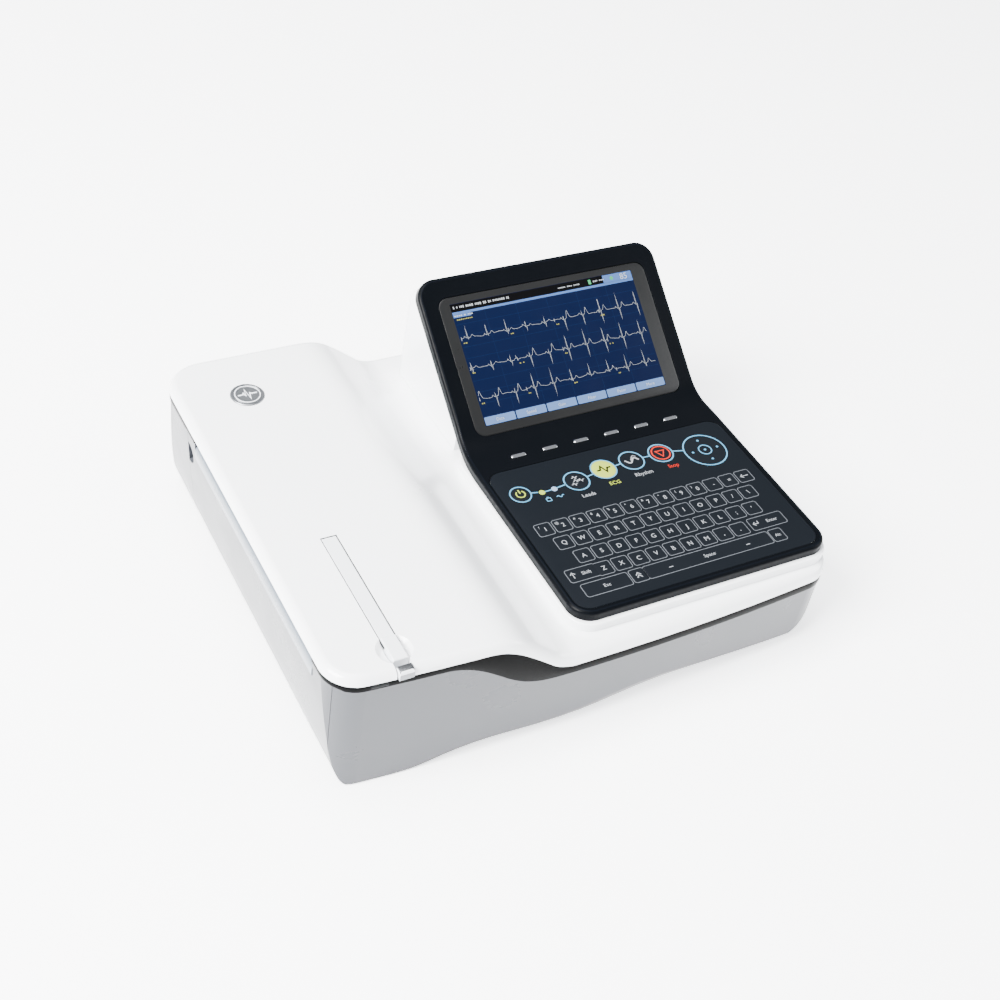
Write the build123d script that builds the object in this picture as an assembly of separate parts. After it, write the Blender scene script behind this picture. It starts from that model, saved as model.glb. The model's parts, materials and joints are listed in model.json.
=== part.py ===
from build123d import *
import os
from math import sin, cos, tan, radians, pi, sqrt

os.makedirs("parts", exist_ok=True)

# ---------------------------------------------------------------- driving sizes (mm)
WIDTH = 390.0            # X, left side to right side
DEPTH = 330.0            # Y, front-most point of the bowed front to the back
FRONT_BOW = 9.3          # the front bows forward this much at the middle
Y_FRONT = -5.8           # front-most point; Y 0 is just inside the front edge
Y_BACK = Y_FRONT + DEPTH
R_FRONT, R_BACK = 24.0, 28.0
TOP_L, TOP_R = 103.5, 72.6       # top surface, raised left part and low right part
LIP_L, LIP_R = 97.0, 63.4        # lower edge of the top shell
BAND_L, BAND_R = 92.6, 56.8      # lower edge of the trim band
WALL = 2.6
BASE_IN = 0.8                    # the base stands this far inside the top shell's outline
LOW_Z = -0.7                     # lowest level of the base's outline
FLOOR_Z = 4.0                    # reference level of the base's floor
FLOOR_IN = 7.8                   # standing level of parts on the floor

# console: keyboard plane, bend and display plane
CON_X0, CON_X1 = 177.8, 386.4    # outline of the black panel's keyboard half
DSP_X0, DSP_X1 = 180.9, 385.0    # the same of its display half, which is a little narrower
CON_XC = 281.6                   # centre of the picture and of the softkeys
LENS_DX = 1.7                    # the window is centred this far to the right of the picture
CON_Y0 = 12.0                    # front end
CON_R = 16.0                     # its corners
KEY_Z = 87.0                     # keyboard plane
TILT = 37.1                      # display plane, degrees from level
LCD_Y, LCD_Z = 197.5, 94.7       # lower edge of the visible picture, on the display plane
LCD_W, LCD_H = 157.0, 94.0
LENS_W, LENS_S0, LENS_S1 = 178.0, -7.0, 99.3
PANEL_S1 = 115.5                 # upper end of the panel, along the display plane
PANEL_T = 7.5
BEND_R = 40.0

# drawer and printer
DOOR_Y0, DOOR_Y1 = 12.5, 264.0
DOOR_Z0 = 9.0
EXIT_Y0, EXIT_Y1 = 35.0, 249.0
PLATEN_X, PLATEN_Z, PLATEN_R = 22.0, 84.4, 7.4
MOD = 0.6
N_PLATEN, N_IDLER, N_PINION = 22, 40, 12
GEAR_Y0, GEAR_Y1 = 252.6, 257.0

# release lever
LEV_X0, LEV_X1 = 41.8, 52.2
LEV_Y0, LEV_Y1 = 8.0, 121.5
LEV_PIVOT_Y, LEV_PIVOT_Z = 117.0, 99.2

OX, OY = WIDTH / 2, (Y_FRONT + Y_BACK) / 2

# ---------------------------------------------------------------- helpers
def save(name, solid, colour=(0.8, 0.8, 0.8)):
    s = Pos(-OX, -OY, 0) * solid
    s.label = name
    export_step(s, f"parts/{name}.step")

def one(obj):
    """the largest solid of a result, as one solid"""
    ss = sorted(obj.solids(), key=lambda q: -q.volume)
    return ss[0]

def whole(obj):
    ss = obj.solids()
    return ss[0] if len(ss) == 1 else Compound(children=list(ss))

def bx(x0, x1, y0, y1, z0, z1):
    return Pos((x0 + x1) / 2, (y0 + y1) / 2, (z0 + z1) / 2) * Box(x1 - x0, y1 - y0, z1 - z0)

def rbx(x0, x1, y0, y1, z0, z1, r):
    sk = Pos((x0 + x1) / 2, (y0 + y1) / 2, z0) * RectangleRounded(x1 - x0, y1 - y0, r)
    return extrude(sk, z1 - z0)

def cz(x, y, z0, z1, r):
    return Pos(x, y, (z0 + z1) / 2) * Cylinder(r, z1 - z0)

def cy(x, z, y0, y1, r):
    return Pos(x, (y0 + y1) / 2, z) * Rot(90, 0, 0) * Cylinder(r, y1 - y0)

def cx(y, z, x0, x1, r):
    return Pos((x0 + x1) / 2, y, z) * Rot(0, 90, 0) * Cylinder(r, x1 - x0)

def rim(solid, pick, r):
    """round the picked edges, with a smaller radius if the full one can't be made"""
    edges = pick(solid)
    for k in (1.0, 0.7, 0.45, 0.25):
        try:
            out = fillet(edges, r * k)
            if out.is_valid and out.volume > 0:
                return out
        except Exception:
            pass
    return solid

def xz_prism(edges, y0, y1):
    """a closed outline in X and Z, extruded from y0 to y1"""
    face = Plane.XZ * make_face(edges) if not isinstance(edges, Face) else edges
    return Pos(0, y1, 0) * extrude(face, y1 - y0)

def plan(inset, z0, z1):
    front = ThreePointArc((0, Y_FRONT + FRONT_BOW), (WIDTH / 2, Y_FRONT), (WIDTH, Y_FRONT + FRONT_BOW))
    lines = [front, Line((WIDTH, Y_FRONT + FRONT_BOW), (WIDTH, Y_BACK)),
             Line((WIDTH, Y_BACK), (0, Y_BACK)), Line((0, Y_BACK), (0, Y_FRONT + FRONT_BOW))]
    f = make_face(lines)
    vs = f.vertices()
    fr = [v for v in vs if v.Y < 50]
    f = fillet(fr, R_FRONT)
    bk = [v for v in f.vertices() if v.Y > Y_BACK - 1 and (v.X < 1 or v.X > WIDTH - 1)]
    f = fillet(bk, R_BACK)
    if inset:
        f = offset(f, -inset)
    return Pos(0, 0, z0) * extrude(f, z1 - z0)

def s_curve(pts, left, right, dz=0.0):
    """a curve in X,Z: level at the left, through the points, level at the right"""
    p = [(x, z + dz) for x, z in pts]
    mid = Spline(*p, tangents=[(1, 0), (1, 0)])
    return [Line((-30, p[0][1]), p[0]), mid, Line(p[-1], (420, p[-1][1]))]

TOP = [(104, TOP_L), (116, 102.6), (126, 99.2), (134, 94.0), (143, 87.2), (151.5, 80.3), (159, 75.2), (167, 72.9), (176, TOP_R)]
LIP = [(100, LIP_L), (112.5, 95.8), (124, 91.0), (132, 85.8), (140.5, 79.4), (149, 72.6), (157.6, 66.6), (166, 63.8), (176, LIP_R)]
BAND = [(74, BAND_L), (86, 90.6), (96.5, 86.2), (104, 81.6), (112, 75.9), (120, 69.8), (128, 64.7), (136, 61.0), (148, 57.9), (165, 57.0), (184, BAND_R)]

def between(lower, upper, y0, y1, dlo=0.0, dup=0.0):
    lo = s_curve(lower, 0, 0, dlo)
    up = s_curve(upper, 0, 0, dup)
    zl0, zl1 = lower[0][1] + dlo, lower[-1][1] + dlo
    zu0, zu1 = upper[0][1] + dup, upper[-1][1] + dup
    edges = lo + up + [Line((-30, zl0), (-30, zu0)), Line((420, zl1), (420, zu1))]
    return xz_prism(edges, y0, y1)

def under(upper, dz, y0, y1, zlow=-20):
    up = s_curve(upper, 0, 0, dz)
    z0, z1 = upper[0][1] + dz, upper[-1][1] + dz
    edges = up + [Line((-30, z0), (-30, zlow)), Line((-30, zlow), (420, zlow)), Line((420, zlow), (420, z1))]
    return xz_prism(edges, y0, y1)

def hull(t):
    """the base's body seen from the front, t inside its outer faces"""
    left = Spline((0 + t, 110), (0.3 + t, 88), (1.5 + t, 62), (3.6 + t, 38), (6.6 + t * 0.97, 17 + t * 0.3), (9.6 + t * 0.8, 7.5 + t * 0.6), (18 + t * 0.5, LOW_Z + t), tangents=[(0, -1), (1, 0)])
    cxr, czr = 343.0, 58.0
    rx, rz = WIDTH - cxr - t, czr - FLOOR_Z - t
    pts = [(cxr + rx * sin(a), czr - rz * cos(a)) for a in [radians(v) for v in (0, 15, 30, 45, 60, 75, 90)]]
    right = Spline(*pts, tangents=[(1, 0), (0, 1)])
    e = [left, Line((18 + t * 0.5, LOW_Z + t), (300, LOW_Z + t)), Line((300, LOW_Z + t), pts[0]), right, Line(pts[-1], (WIDTH - t, 110)), Line((WIDTH - t, 110), (0 + t, 110))]
    return xz_prism(e, -40, 360)

# underside along X: height of the floor's outside and radius of the front's lower rounding
UNDER = [(-20, 0.9, 4.0), (46, 0.9, 4.0), (56, 1.3, 4.8), (64, 2.1, 6.2), (73, 3.3, 8.3), (82, 4.4, 10.1), (92, 5.2, 11.4), (104, 5.7, 12.0), (118, 5.7, 11.7), (134, 5.4, 10.6), (150, 5.0, 9.4), (168, 4.9, 9.0),
         (184, 4.9, 9.8), (198, 4.9, 12.0), (214, 4.95, 15.6), (230, 5.0, 19.0), (248, 5.0, 21.2), (268, 5.0, 22.0), (420, 5.0, 22.0)]

def side_round(t):
    """the base's body seen from the side: rounded under at the front and the back"""
    u = t - BASE_IN
    secs = []
    for x, zb, r in UNDER:
        rf, rb = max(1.6, r - u * 0.5), 12.0 - u * 0.5
        y0, y1, z0 = Y_FRONT + t, Y_BACK - t, zb + u
        e = [Line((y0, 110), (y0, z0 + rf)), RadiusArc((y0, z0 + rf), (y0 + rf, z0), -rf), Line((y0 + rf, z0), (y1 - rb, z0)),
             RadiusArc((y1 - rb, z0), (y1, z0 + rb), -rb), Line((y1, z0 + rb), (y1, 110)), Line((y1, 110), (y0, 110))]
        secs.append(Plane.YZ.offset(x) * make_face(e))
    return loft(secs, ruled=True)

# ---------------------------------------------------------------- shells
outer = plan(BASE_IN, 0, 110) & hull(BASE_IN) & side_round(BASE_IN)
inner = plan(BASE_IN + WALL, 0, 120) & hull(BASE_IN + WALL) & side_round(BASE_IN + WALL)
solid_base = one(outer & under(BAND, 0, -40, 360))
tub = one(solid_base - inner)

door_cut = bx(-5, 22, DOOR_Y0, DOOR_Y1, DOOR_Z0, 120)
base = one(tub - door_cut)

# windows in the back and the right side
REAR_X0, REAR_X1, REAR_Z0, REAR_Z1 = 214.0, 362.0, 15.0, 50.0
base = base - bx(REAR_X0, REAR_X1, Y_BACK - 12, Y_BACK + 5, REAR_Z0, REAR_Z1)
SIDE_Y0, SIDE_Y1, SIDE_Z0, SIDE_Z1 = 92.0, 160.0, 30.0, 52.0
base = base - bx(WIDTH - 14, WIDTH + 5, SIDE_Y0, SIDE_Y1, SIDE_Z0, SIDE_Z1)
# battery opening in the floor
BAT = (200.0, 340.0, 48.0, 130.0)
base = base - rbx(BAT[0], BAT[1], BAT[2], BAT[3], 0, FLOOR_Z + WALL + 1, 4)
# vents and speaker holes in the floor
for i in range(9):
    base = base - rbx(214 + i * 12, 219 + i * 12, 170, 198, 0, 8, 2.4)
SPK = (186.0, 283.0)
for i in range(-2, 3):
    for j in range(-2, 3):
        if i * i + j * j <= 5:
            base = base - cz(SPK[0] + i * 6.5, SPK[1] + j * 6.5, 0, 9, 1.8)
# feet seats, screw wells and posts
FEET = [(40, 34), (40, 292), (318, 34), (318, 292)]
def foot_top(fx):
    return 2.0 if fx < 100 else 5.6
for fx, fy in FEET:
    base = base - cz(fx, fy, -1, foot_top(fx) + 0.05, 8.2)
SCREWS = [(24, 284), (120, 306), (176, 20), (345, 24), (352, 262), (190, 306)]
posts_in = plan(2, 0, 110) & hull(1.5) & side_round(1.5)
for sx, sy in SCREWS:
    base = base + (cz(sx, sy, 2.0, 52, 4.6) & posts_in)
    base = base - cz(sx, sy, 0, 12, 3.4) - cz(sx, sy, 10, 54, 1.75)
# posts for the main board, battery walls
MB = (176.0, 368.0, 30.0, 205.0, 42.0)
for px, py in [(184, 38), (360, 60), (184, 197), (358, 197)]:
    base = base + (cz(px, py, FLOOR_Z + 2, MB[4], 3.4) & posts_in)
    base = base - cz(px, py, 30, 50, 1.3)
base = base + (bx(BAT[0] - 4.4, BAT[1] + 4.4, BAT[2] - 4.4, BAT[3] + 4.4, FLOOR_Z + 2.0, 30) - bx(BAT[0] - 2, BAT[1] + 2, BAT[2] - 2, BAT[3] + 2, FLOOR_Z - 1, 31))
base = base - rbx(BAT[0], BAT[1], BAT[2], BAT[3], 0, FLOOR_Z + WALL + 1, 4)
# drawer guide rails on the floor
RAIL_Y = [(19.0, 22.0), (256.6, 259.6)]
for y0, y1 in RAIL_Y:
    base = base + (bx(24, 168, y0, y1, 2.0, 30) & posts_in)
# ribs that stop the drawer and carry the chassis
base = base + (bx(168, 171, 24, 252, 2.0, 26) & posts_in)
base = one(base)

# trim band: stands on the base wall, under the lip
band = plan(1.3, 40, 110) - plan(1.3 + 2.4, 30, 120)
band = band & between(BAND, LIP, -40, 360, 0.05, -0.05)
band = band - bx(-5, 12, EXIT_Y0, EXIT_Y1, 60, 120)
WIN = (22.5, 36.0)
WIN_Z = (93.6, 96.2)
band = one(band)
window_blk = bx(WIN[0], WIN[1], -10, 12, WIN_Z[0], WIN_Z[1])
band = one(band - window_blk)
window = one((plan(1.1, 60, 110) - plan(1.3 + 1.9, 60, 110)) & bx(WIN[0] + 0.05, WIN[1] - 0.05, -10, 12, WIN_Z[0] + 0.05, WIN_Z[1] - 0.05))

# top shell
top_o = plan(0, 0, 130) & under(TOP, 0, -40, 360, 40)
top_o = one(top_o)
def top_edges(s):
    out = []
    for e in s.edges():
        bb = e.bounding_box()
        c = e.center()
        if bb.min.Z > 69 and (bb.max.Z - bb.min.Z) < 40 and not (abs(e.tangent_at(0.5).Z) > 0.97):
            # the loop where the top surface meets the side walls
            inside = 1.5 < c.X < WIDTH - 1.5 and Y_FRONT + 12 < c.Y < Y_BACK - 1.5
            if not inside:
                out.append(e)
    return out
top_o = rim(top_o, top_edges, 6.0)
top_i = plan(WALL, 0, 130) & under(TOP, -WALL, -40, 360, 40)
lip_cut = under(LIP, 0, -40, 360, 0)
top = one((top_o - top_i) - lip_cut)

# the plinth the console stands on, and the display's back cover
def con_plan(grow, z0, z1, y1=176.0):
    return rbx(CON_X0 - grow, CON_X1 + grow, CON_Y0 - grow * 1.6, y1, z0, z1, CON_R + grow)

t37 = radians(TILT)
def dpt(s, off=0.0):
    """Y,Z of a point on the display plane, s along it from the picture's lower edge, off square to it"""
    return (LCD_Y + s * cos(t37) - off * sin(t37), LCD_Z + s * sin(t37) + off * cos(t37))

def bend_profile(off, s1, y0, s_in=0.0):
    """Y,Z points of the console's surface moved by off square to it (down is negative)"""
    # corner where the two planes meet
    yc = LCD_Y - (LCD_Z - KEY_Z) / tan(t37)
    tl = BEND_R * tan(t37 / 2)
    a = (yc - tl, KEY_Z + off)
    # centre of the bend is above the surface
    cy0, cz0 = yc - tl, KEY_Z + BEND_R
    r = BEND_R - off
    b = (cy0 + r * sin(t37), cz0 - r * cos(t37))
    m = (cy0 + r * sin(t37 / 2), cz0 - r * cos(t37 / 2))
    e = dpt(s1, off)
    return (y0, KEY_Z + off), a, m, b, e

def console_slab(off0, off1, s1, y0, x0, x1):
    """a bent slab between two offsets of the console's surface"""
    p0, a0, m0, b0, e0 = bend_profile(off0, s1, y0)
    p1, a1, m1, b1, e1 = bend_profile(off1, s1, y0)
    e = [Line(p0, a0), ThreePointArc(a0, m0, b0), Line(b0, e0), Line(e0, e1), Line(e1, b1), ThreePointArc(b1, m1, a1), Line(a1, p1), Line(p1, p0)]
    f = Plane.YZ * make_face(e)
    return Pos(x0, 0, 0) * extrude(f, x1 - x0)

YC = LCD_Y - (LCD_Z - KEY_Z) / tan(t37)
DISP = Plane(origin=(CON_XC, LCD_Y, LCD_Z), x_dir=(1, 0, 0), z_dir=(0, -sin(t37), cos(t37)))

def dbox(hx, s0, s1, o0, o1, r=0.0, xc=0.0):
    """a block on the display plane: half width, extent along the slope, extent square to it"""
    sk = Pos(xc, (s0 + s1) / 2, o0) * (RectangleRounded(2 * hx, s1 - s0, r) if r else Rectangle(2 * hx, s1 - s0))
    return DISP * extrude(sk, o1 - o0)

slab = console_slab(-PANEL_T, 0, PANEL_S1, CON_Y0, CON_X0, CON_X1)
# rounded corners: front two seen from above, top two seen square to the display
wide = con_plan(0, 60, 100, 260)
neck = [Line((CON_X0, 130), (CON_X0, 160)), Spline((CON_X0, 160), ((CON_X0 + DSP_X0) / 2, 182), (DSP_X0, 205), tangents=[(0, 1), (0, 1)]), Line((DSP_X0, 205), (DSP_X0, 330)),
        Line((DSP_X0, 330), (DSP_X1, 330)), Line((DSP_X1, 330), (DSP_X1, 205)), Spline((DSP_X1, 205), ((CON_X1 + DSP_X1) / 2, 182), (CON_X1, 160), tangents=[(0, -1), (0, -1)]),
        Line((CON_X1, 160), (CON_X1, 130)), Line((CON_X1, 130), (CON_X0, 130))]
neck = Pos(0, 0, 60) * extrude(make_face(neck), 140)
slab = slab & ((wide & bx(0, WIDTH, 0, 145, 60, 100)) + neck)
DSP_HW, DSP_DX = (DSP_X1 - DSP_X0) / 2, (DSP_X0 + DSP_X1) / 2 - CON_XC
corner = dbox(DSP_HW, -60, PANEL_S1, -40, 40, 15, DSP_DX)
slab = slab & (corner + bx(CON_X0 - 1, CON_X1 + 1, -20, 205, 60, 130))
slab = one(slab)
def con_edges(s):
    out = []
    for e in s.edges():
        c = e.center()
        # on the upper surface and on the outline
        on_key = abs(c.Z - KEY_Z) < 0.02 and c.Y < 180
        d = (c.Y - LCD_Y) * (-sin(t37)) + (c.Z - LCD_Z) * cos(t37)
        on_dsp = abs(d) < 0.05 and c.Y > 190
        on_bend = (abs(c.X - CON_X0) < 0.05 or abs(c.X - CON_X1) < 0.05) and 174 < c.Y < 200 and c.Z > KEY_Z - 0.1 and e.geom_type == GeomType.CIRCLE and abs(e.radius - BEND_R) < 0.1
        on_bend = (c.X < DSP_X0 + 0.1 or c.X > DSP_X1 - 0.1) and 158 < c.Y < 206 and KEY_Z - 0.1 < c.Z < 102 and d > -6
        if (on_key or on_dsp or on_bend) and not (abs(e.tangent_at(0.5).X) > 0.99 and CON_Y0 + 3 < c.Y < 280):
            out.append(e)
    return out
slab = rim(slab, con_edges, 2.4)

# recess for the keypad stack, its cable slot, the lens and the picture opening
OVL = (182.3, 380.7, 17.0, 156.8)
bezel = slab - rbx(OVL[0] - 0.35, OVL[1] + 0.35, OVL[2] - 0.35, OVL[3] + 0.35, KEY_Z - 3.1, KEY_Z + 1, 11.3)
bezel = bezel - bx(220, 300, 120, 126, 70, KEY_Z)
bezel = bezel - dbox(LENS_W / 2 + 0.3, LENS_S0 - 0.3, LENS_S1 + 0.3, -1.9, 2, 8.3, LENS_DX)
bezel = bezel - dbox(LCD_W / 2 + 2, -2, LCD_H + 2, -10, 2, 1)
SOFT_Y = 168.6
SOFT_X = [CON_XC + (i - 2.5) * 26.3 for i in range(6)]
def pill(x, y, z0, z1, l, w):
    return Pos(x, y, z0) * extrude(SlotOverall(l, w), z1 - z0)
for sx in SOFT_X:
    bezel = bezel - pill(sx, SOFT_Y, 70, 95, 12.9, 3.9)
# hollow underneath the keyboard half
bezel = bezel - rbx(CON_X0 + 3, CON_X1 - 3, CON_Y0 + 3, 150, KEY_Z - PANEL_T - 1, KEY_Z - PANEL_T + 2.0, 13)
bezel = one(bezel)

# white plinth joined to the top shell: it follows the panel's underside
plinth_o = con_plan(2.0, 68, KEY_Z - PANEL_T - 0.1, 196.0)
plinth_o = rim(plinth_o, lambda s: s.faces().sort_by(Axis.Z)[-1].edges(), 1.0)
plinth_i = con_plan(-2.0, 60, 100, 193.0)
plinth = plinth_o - plinth_i
deck_open = rbx(CON_X0 + 8, CON_X1 - 8, CON_Y0 + 10, 186, 60, 100, 8)
top = top - deck_open
# only the part of the plinth over the low deck is kept; the slope flows into it
top = one(top + (plinth & bx(150, WIDTH, -10, 196, TOP_R - 3, 100) & plan(0.05, 60, 100)))
# lever slot with a floor, finger dimple, badge seat
LEV_GAP = 0.6
well = rbx(LEV_X0 - 2.6, LEV_X1 + 2.6, -1.0, LEV_Y1 + 3, 92.8, TOP_L - 0.5, 1.5)
top = top + (well & plan(3.9, 0, 130))
top = top - bx(LEV_X0 - LEV_GAP, LEV_X1 + LEV_GAP, -20, LEV_Y1 + LEV_GAP, 95.4, 120)
dimple = Pos((LEV_X0 + LEV_X1) / 2, 18, TOP_L + 13.5) * Sphere(18.0)
top = top + (Pos((LEV_X0 + LEV_X1) / 2, 18, TOP_L - 6.5) * extrude(Ellipse(14, 13), 6.0)) - bx(LEV_X0 - LEV_GAP, LEV_X1 + LEV_GAP, -20, LEV_Y1 + LEV_GAP, 95.4, 120)
top = top - dimple
BADGE = (49.0, 275.0, 12.2)
top = top - cz(BADGE[0], BADGE[1], TOP_L - 1.2, TOP_L + 5, BADGE[2] + 0.15)
# room behind the lever's rear end, which swings down about the pin
top = top - (cx(LEV_PIVOT_Y, LEV_PIVOT_Z, LEV_X0 - LEV_GAP, LEV_X1 + LEV_GAP, 6.6) & bx(LEV_X0 - 1, LEV_X1 + 1, 100, 126, 95.4, 103.3))
# lever pin holes
top = top - cx(LEV_PIVOT_Y, LEV_PIVOT_Z, LEV_X0 - 2.4, LEV_X1 + 2.4, 1.25)
# screw posts up from below
for sx, sy in SCREWS:
    zt = TOP_L if sx < 110 else (TOP_L - 3 if sx < 125 else TOP_R)
    post = cz(sx, sy, 52.3, zt - 1.5, 4.2) - cz(sx, sy, 50, zt - 6, 1.5)
    top = top + post
top = one(top)

# back cover of the display, white: it closes the wedge behind the panel
def wedge(t, zlow):
    q0, a, m, b, e = bend_profile(-PANEL_T - 0.1 - t, PANEL_S1 - 3.0 - t, 185)
    e2 = dpt(PANEL_S1 - 3.0 - t, -PANEL_T - 12.0)
    yb = min(Y_BACK - 12, 306) - t
    pts = [b, e, (e2[0] + 3, e2[1] + 1), (yb - 1.5, 112), (yb, zlow), (b[0] + 1, zlow)]
    f = Plane.YZ * make_face(Polyline(*pts, close=True))
    return Pos(DSP_X0 + 1.5 + t, 0, 0) * extrude(f, DSP_X1 - DSP_X0 - 3 - 2 * t)
w_o = one(wedge(0, TOP_R + 0.3))
def wedge_edges(s):
    return [e for e in s.edges() if e.center().Y > 285 and e.center().Z > TOP_R + 5]
w_o = rim(w_o, wedge_edges, 9.0)
w_i = wedge(WALL, 60)
back_cover = w_o - w_i
# open towards the panel: the LCD module stands in it
back_cover = back_cover - dbox(LENS_W / 2 + 2.4, LENS_S0 - 1, LENS_S1 + 3, -14, 2, 0, LENS_DX)
for i in range(9):
    s = bx(CON_XC - 52 + i * 12, CON_XC - 47 + i * 12, 296, 312, 84, 108)
    back_cover = back_cover - s
back_cover = one(back_cover)
# the deck behind is open under the cover
top = one(top - rbx(CON_X0 + 10, CON_X1 - 10, 200, 296, 60, 100, 6))

save("base_shell", base)
save("trim_band", band)
save("band_window", window)
save("top_shell", top)
save("console_bezel", bezel)
save("display_back_cover", back_cover)

# ---------------------------------------------------------------- console internals
save("keypad_board", one(rbx(OVL[0], OVL[1], OVL[2], OVL[3], KEY_Z - 3.1, KEY_Z - 1.5, 11)))
dome = rbx(OVL[0], OVL[1], OVL[2], OVL[3], KEY_Z - 1.5, KEY_Z - 0.6, 11)
for xs, n, yy in ((196.6, 13, 93.7), (203.5, 12, 78.0), (210.3, 11, 62.3)):
    for i in range(n):
        dome = dome - rbx(xs + i * 14.05 - 6.0, xs + i * 14.05 + 6.0, yy - 6.2, yy + 6.2, KEY_Z - 1.1, KEY_Z, 1.5)
save("dome_sheet", one(dome))
overlay = rbx(OVL[0], OVL[1], OVL[2], OVL[3], KEY_Z - 0.6, KEY_Z - 0.1, 11)
save("keypad_overlay", one(overlay))

for i, sx in enumerate(SOFT_X):
    cap = pill(sx, SOFT_Y, KEY_Z - 6.5, KEY_Z + 0.9, 12.5, 3.5)
    cap = rim(cap, lambda s: s.faces().sort_by(Axis.Z)[-1].edges(), 0.8)
    cap = cap + pill(sx, SOFT_Y, KEY_Z - 9.6, KEY_Z - 8.5, 15.5, 6.0) + pill(sx, SOFT_Y, KEY_Z - 8.6, KEY_Z - 6.4, 12.5, 3.5)
    save(f"softkey_{i+1}", one(cap))
soft_board = bx(CON_XC - 78, CON_XC + 78, 158, 180, KEY_Z - 15.0, KEY_Z - 13.4)
for sx in SOFT_X:
    soft_board = soft_board + bx(sx - 3.2, sx + 3.2, SOFT_Y - 3.2, SOFT_Y + 3.2, KEY_Z - 13.5, KEY_Z - 10.8)
save("softkey_board", one(soft_board))

lens = dbox(LENS_W / 2, LENS_S0, LENS_S1, -1.8, -0.2, 8, LENS_DX)
save("display_lens", one(lens))
lcd = dbox(LCD_W / 2 + 1.6, -1.6, LCD_H + 1.6, -7.2, -2.2)
save("lcd_panel", one(lcd))
frame_ = dbox(LCD_W / 2 + 5, -5, LCD_H + 5, -12.4, -7.9) - dbox(LCD_W / 2 - 3, 3, LCD_H - 3, -12.0, -2)
for sx, ss in [(-1, 6), (1, 6), (-1, 88), (1, 88)]:
    frame_ = frame_ + dbox(3.5, ss - 3.5, ss + 3.5, -12.4, -7.9, 0, sx * (LCD_W / 2 + 7))
save("lcd_bracket", one(frame_))
# ---------------------------------------------------------------- badge, lever, catch
badge = cz(BADGE[0], BADGE[1], TOP_L - 1.15, TOP_L + 0.7, BADGE[2])
badge = rim(badge, lambda s: s.faces().sort_by(Axis.Z)[-1].edges(), 0.7)
badge = badge - (cz(BADGE[0], BADGE[1], TOP_L + 0.4, TOP_L + 2, BADGE[2] - 1.6) - cz(BADGE[0], BADGE[1], TOP_L, TOP_L + 3, BADGE[2] - 2.2))
save("round_badge", one(badge))

lever = bx(LEV_X0, LEV_X1, LEV_Y0, LEV_Y1, 98.2, TOP_L - 0.1)
lever = rim(lever, lambda s: [e for e in s.edges() if e.center().Z > TOP_L - 0.3], 0.6)
nose = bx(LEV_X0, LEV_X1, LEV_Y0, LEV_Y0 + 20, TOP_L - 1.0, TOP_L + 1.6)
nose = rim(nose, lambda s: [e for e in s.edges() if e.center().Z > TOP_L + 1.5], 1.0)
lever = lever + nose
lever = lever - bx(LEV_X0 + 1.8, LEV_X1 - 1.8, LEV_Y0 + 2, LEV_PIVOT_Y - 6, 97, 101.2)
lever = lever - cx(LEV_PIVOT_Y, LEV_PIVOT_Z, LEV_X0 - 2, LEV_X1 + 2, 1.05)
# the lever's rear end is rounded about the pin so that it can turn in its slot
lever = lever - (bx(LEV_X0 - 1, LEV_X1 + 1, LEV_PIVOT_Y, LEV_Y1 + 1, 97, LEV_PIVOT_Z) - cx(LEV_PIVOT_Y, LEV_PIVOT_Z, LEV_X0 - 2, LEV_X1 + 2, 4.0))
save("release_lever", one(lever))
save("lever_pin", one(cx(LEV_PIVOT_Y, LEV_PIVOT_Z, LEV_X0 - 2.3, LEV_X1 + 2.3, 1.0)))

cat_y0 = Y_FRONT + FRONT_BOW * ((47 - 195) / 195) ** 2 - 1.6
catch = bx(LEV_X0 + 0.2, LEV_X1 - 0.2, cat_y0, 4.2, 98.0, TOP_L + 0.2)
catch = catch + bx(LEV_X0 + 0.2, LEV_X1 - 0.2, cat_y0, cat_y0 + 2.0, 97.3, 99)
catch = rim(catch, lambda s: [e for e in s.edges() if e.center().Z > TOP_L], 1.4)
save("catch_button", one(catch))


# ---------------------------------------------------------------- drawer
# the door: a piece of the base's own left wall, with the exit ledge above it
door = (outer & under(BAND, -0.3, -40, 360)) - inner
door = door & bx(-5, 21.6, DOOR_Y0 + 0.4, DOOR_Y1 - 0.4, DOOR_Z0 + 0.4, 120)
door = one(door)
door = door - bx(-5, 22, EXIT_Y0 - 0.1, EXIT_Y1 + 0.1, 79.2, 120)
# finger recess at its rear end
door = door - (Pos(-1.0, 262, 74) * Sphere(9.0))
door_in = plan(BASE_IN + 1.4, 0, 110) & hull(BASE_IN + 1.4)
for y in (60, 140, 220):
    door = door + (bx(BASE_IN + WALL - 0.4, 14.3, y - 1.2, y + 1.2, 20, 50) & door_in)
save("drawer_front", one(door))

ledge_pts = [Spline((0.9, 79.4), (0.75, 84), (1.9, 88.4), (5.6, 91.0), (9.0, 91.2), tangents=[(0, 1), (1, 0)]), Line((9.0, 91.2), (10.4, 91.2)), Line((10.4, 91.2), (10.4, 79.4)), Line((10.4, 79.4), (0.9, 79.4))]
ledge = xz_prism(ledge_pts, EXIT_Y0 + 0.2, EXIT_Y1 - 0.2)
ledge = ledge - bx(3.6, 7.8, EXIT_Y0 + 2, EXIT_Y1 - 2, 70, 88.4)
ledge = ledge - bx(5.8, 9.6, EXIT_Y0 + 1.5, EXIT_Y1 - 1.5, 90.6, 92)
save("exit_ledge", one(ledge))
blade = bx(5.9, 9.5, EXIT_Y0 + 1.6, EXIT_Y1 - 1.6, 90.6, 91.5)
for i in range(70):
    yy = EXIT_Y0 + 4 + i * 3.0
    if yy < EXIT_Y1 - 4:
        blade = blade - (Pos(5.9, yy, 91.05) * Rot(0, 0, 45) * Box(0.9, 0.9, 2))
save("tear_blade", one(blade))

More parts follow.
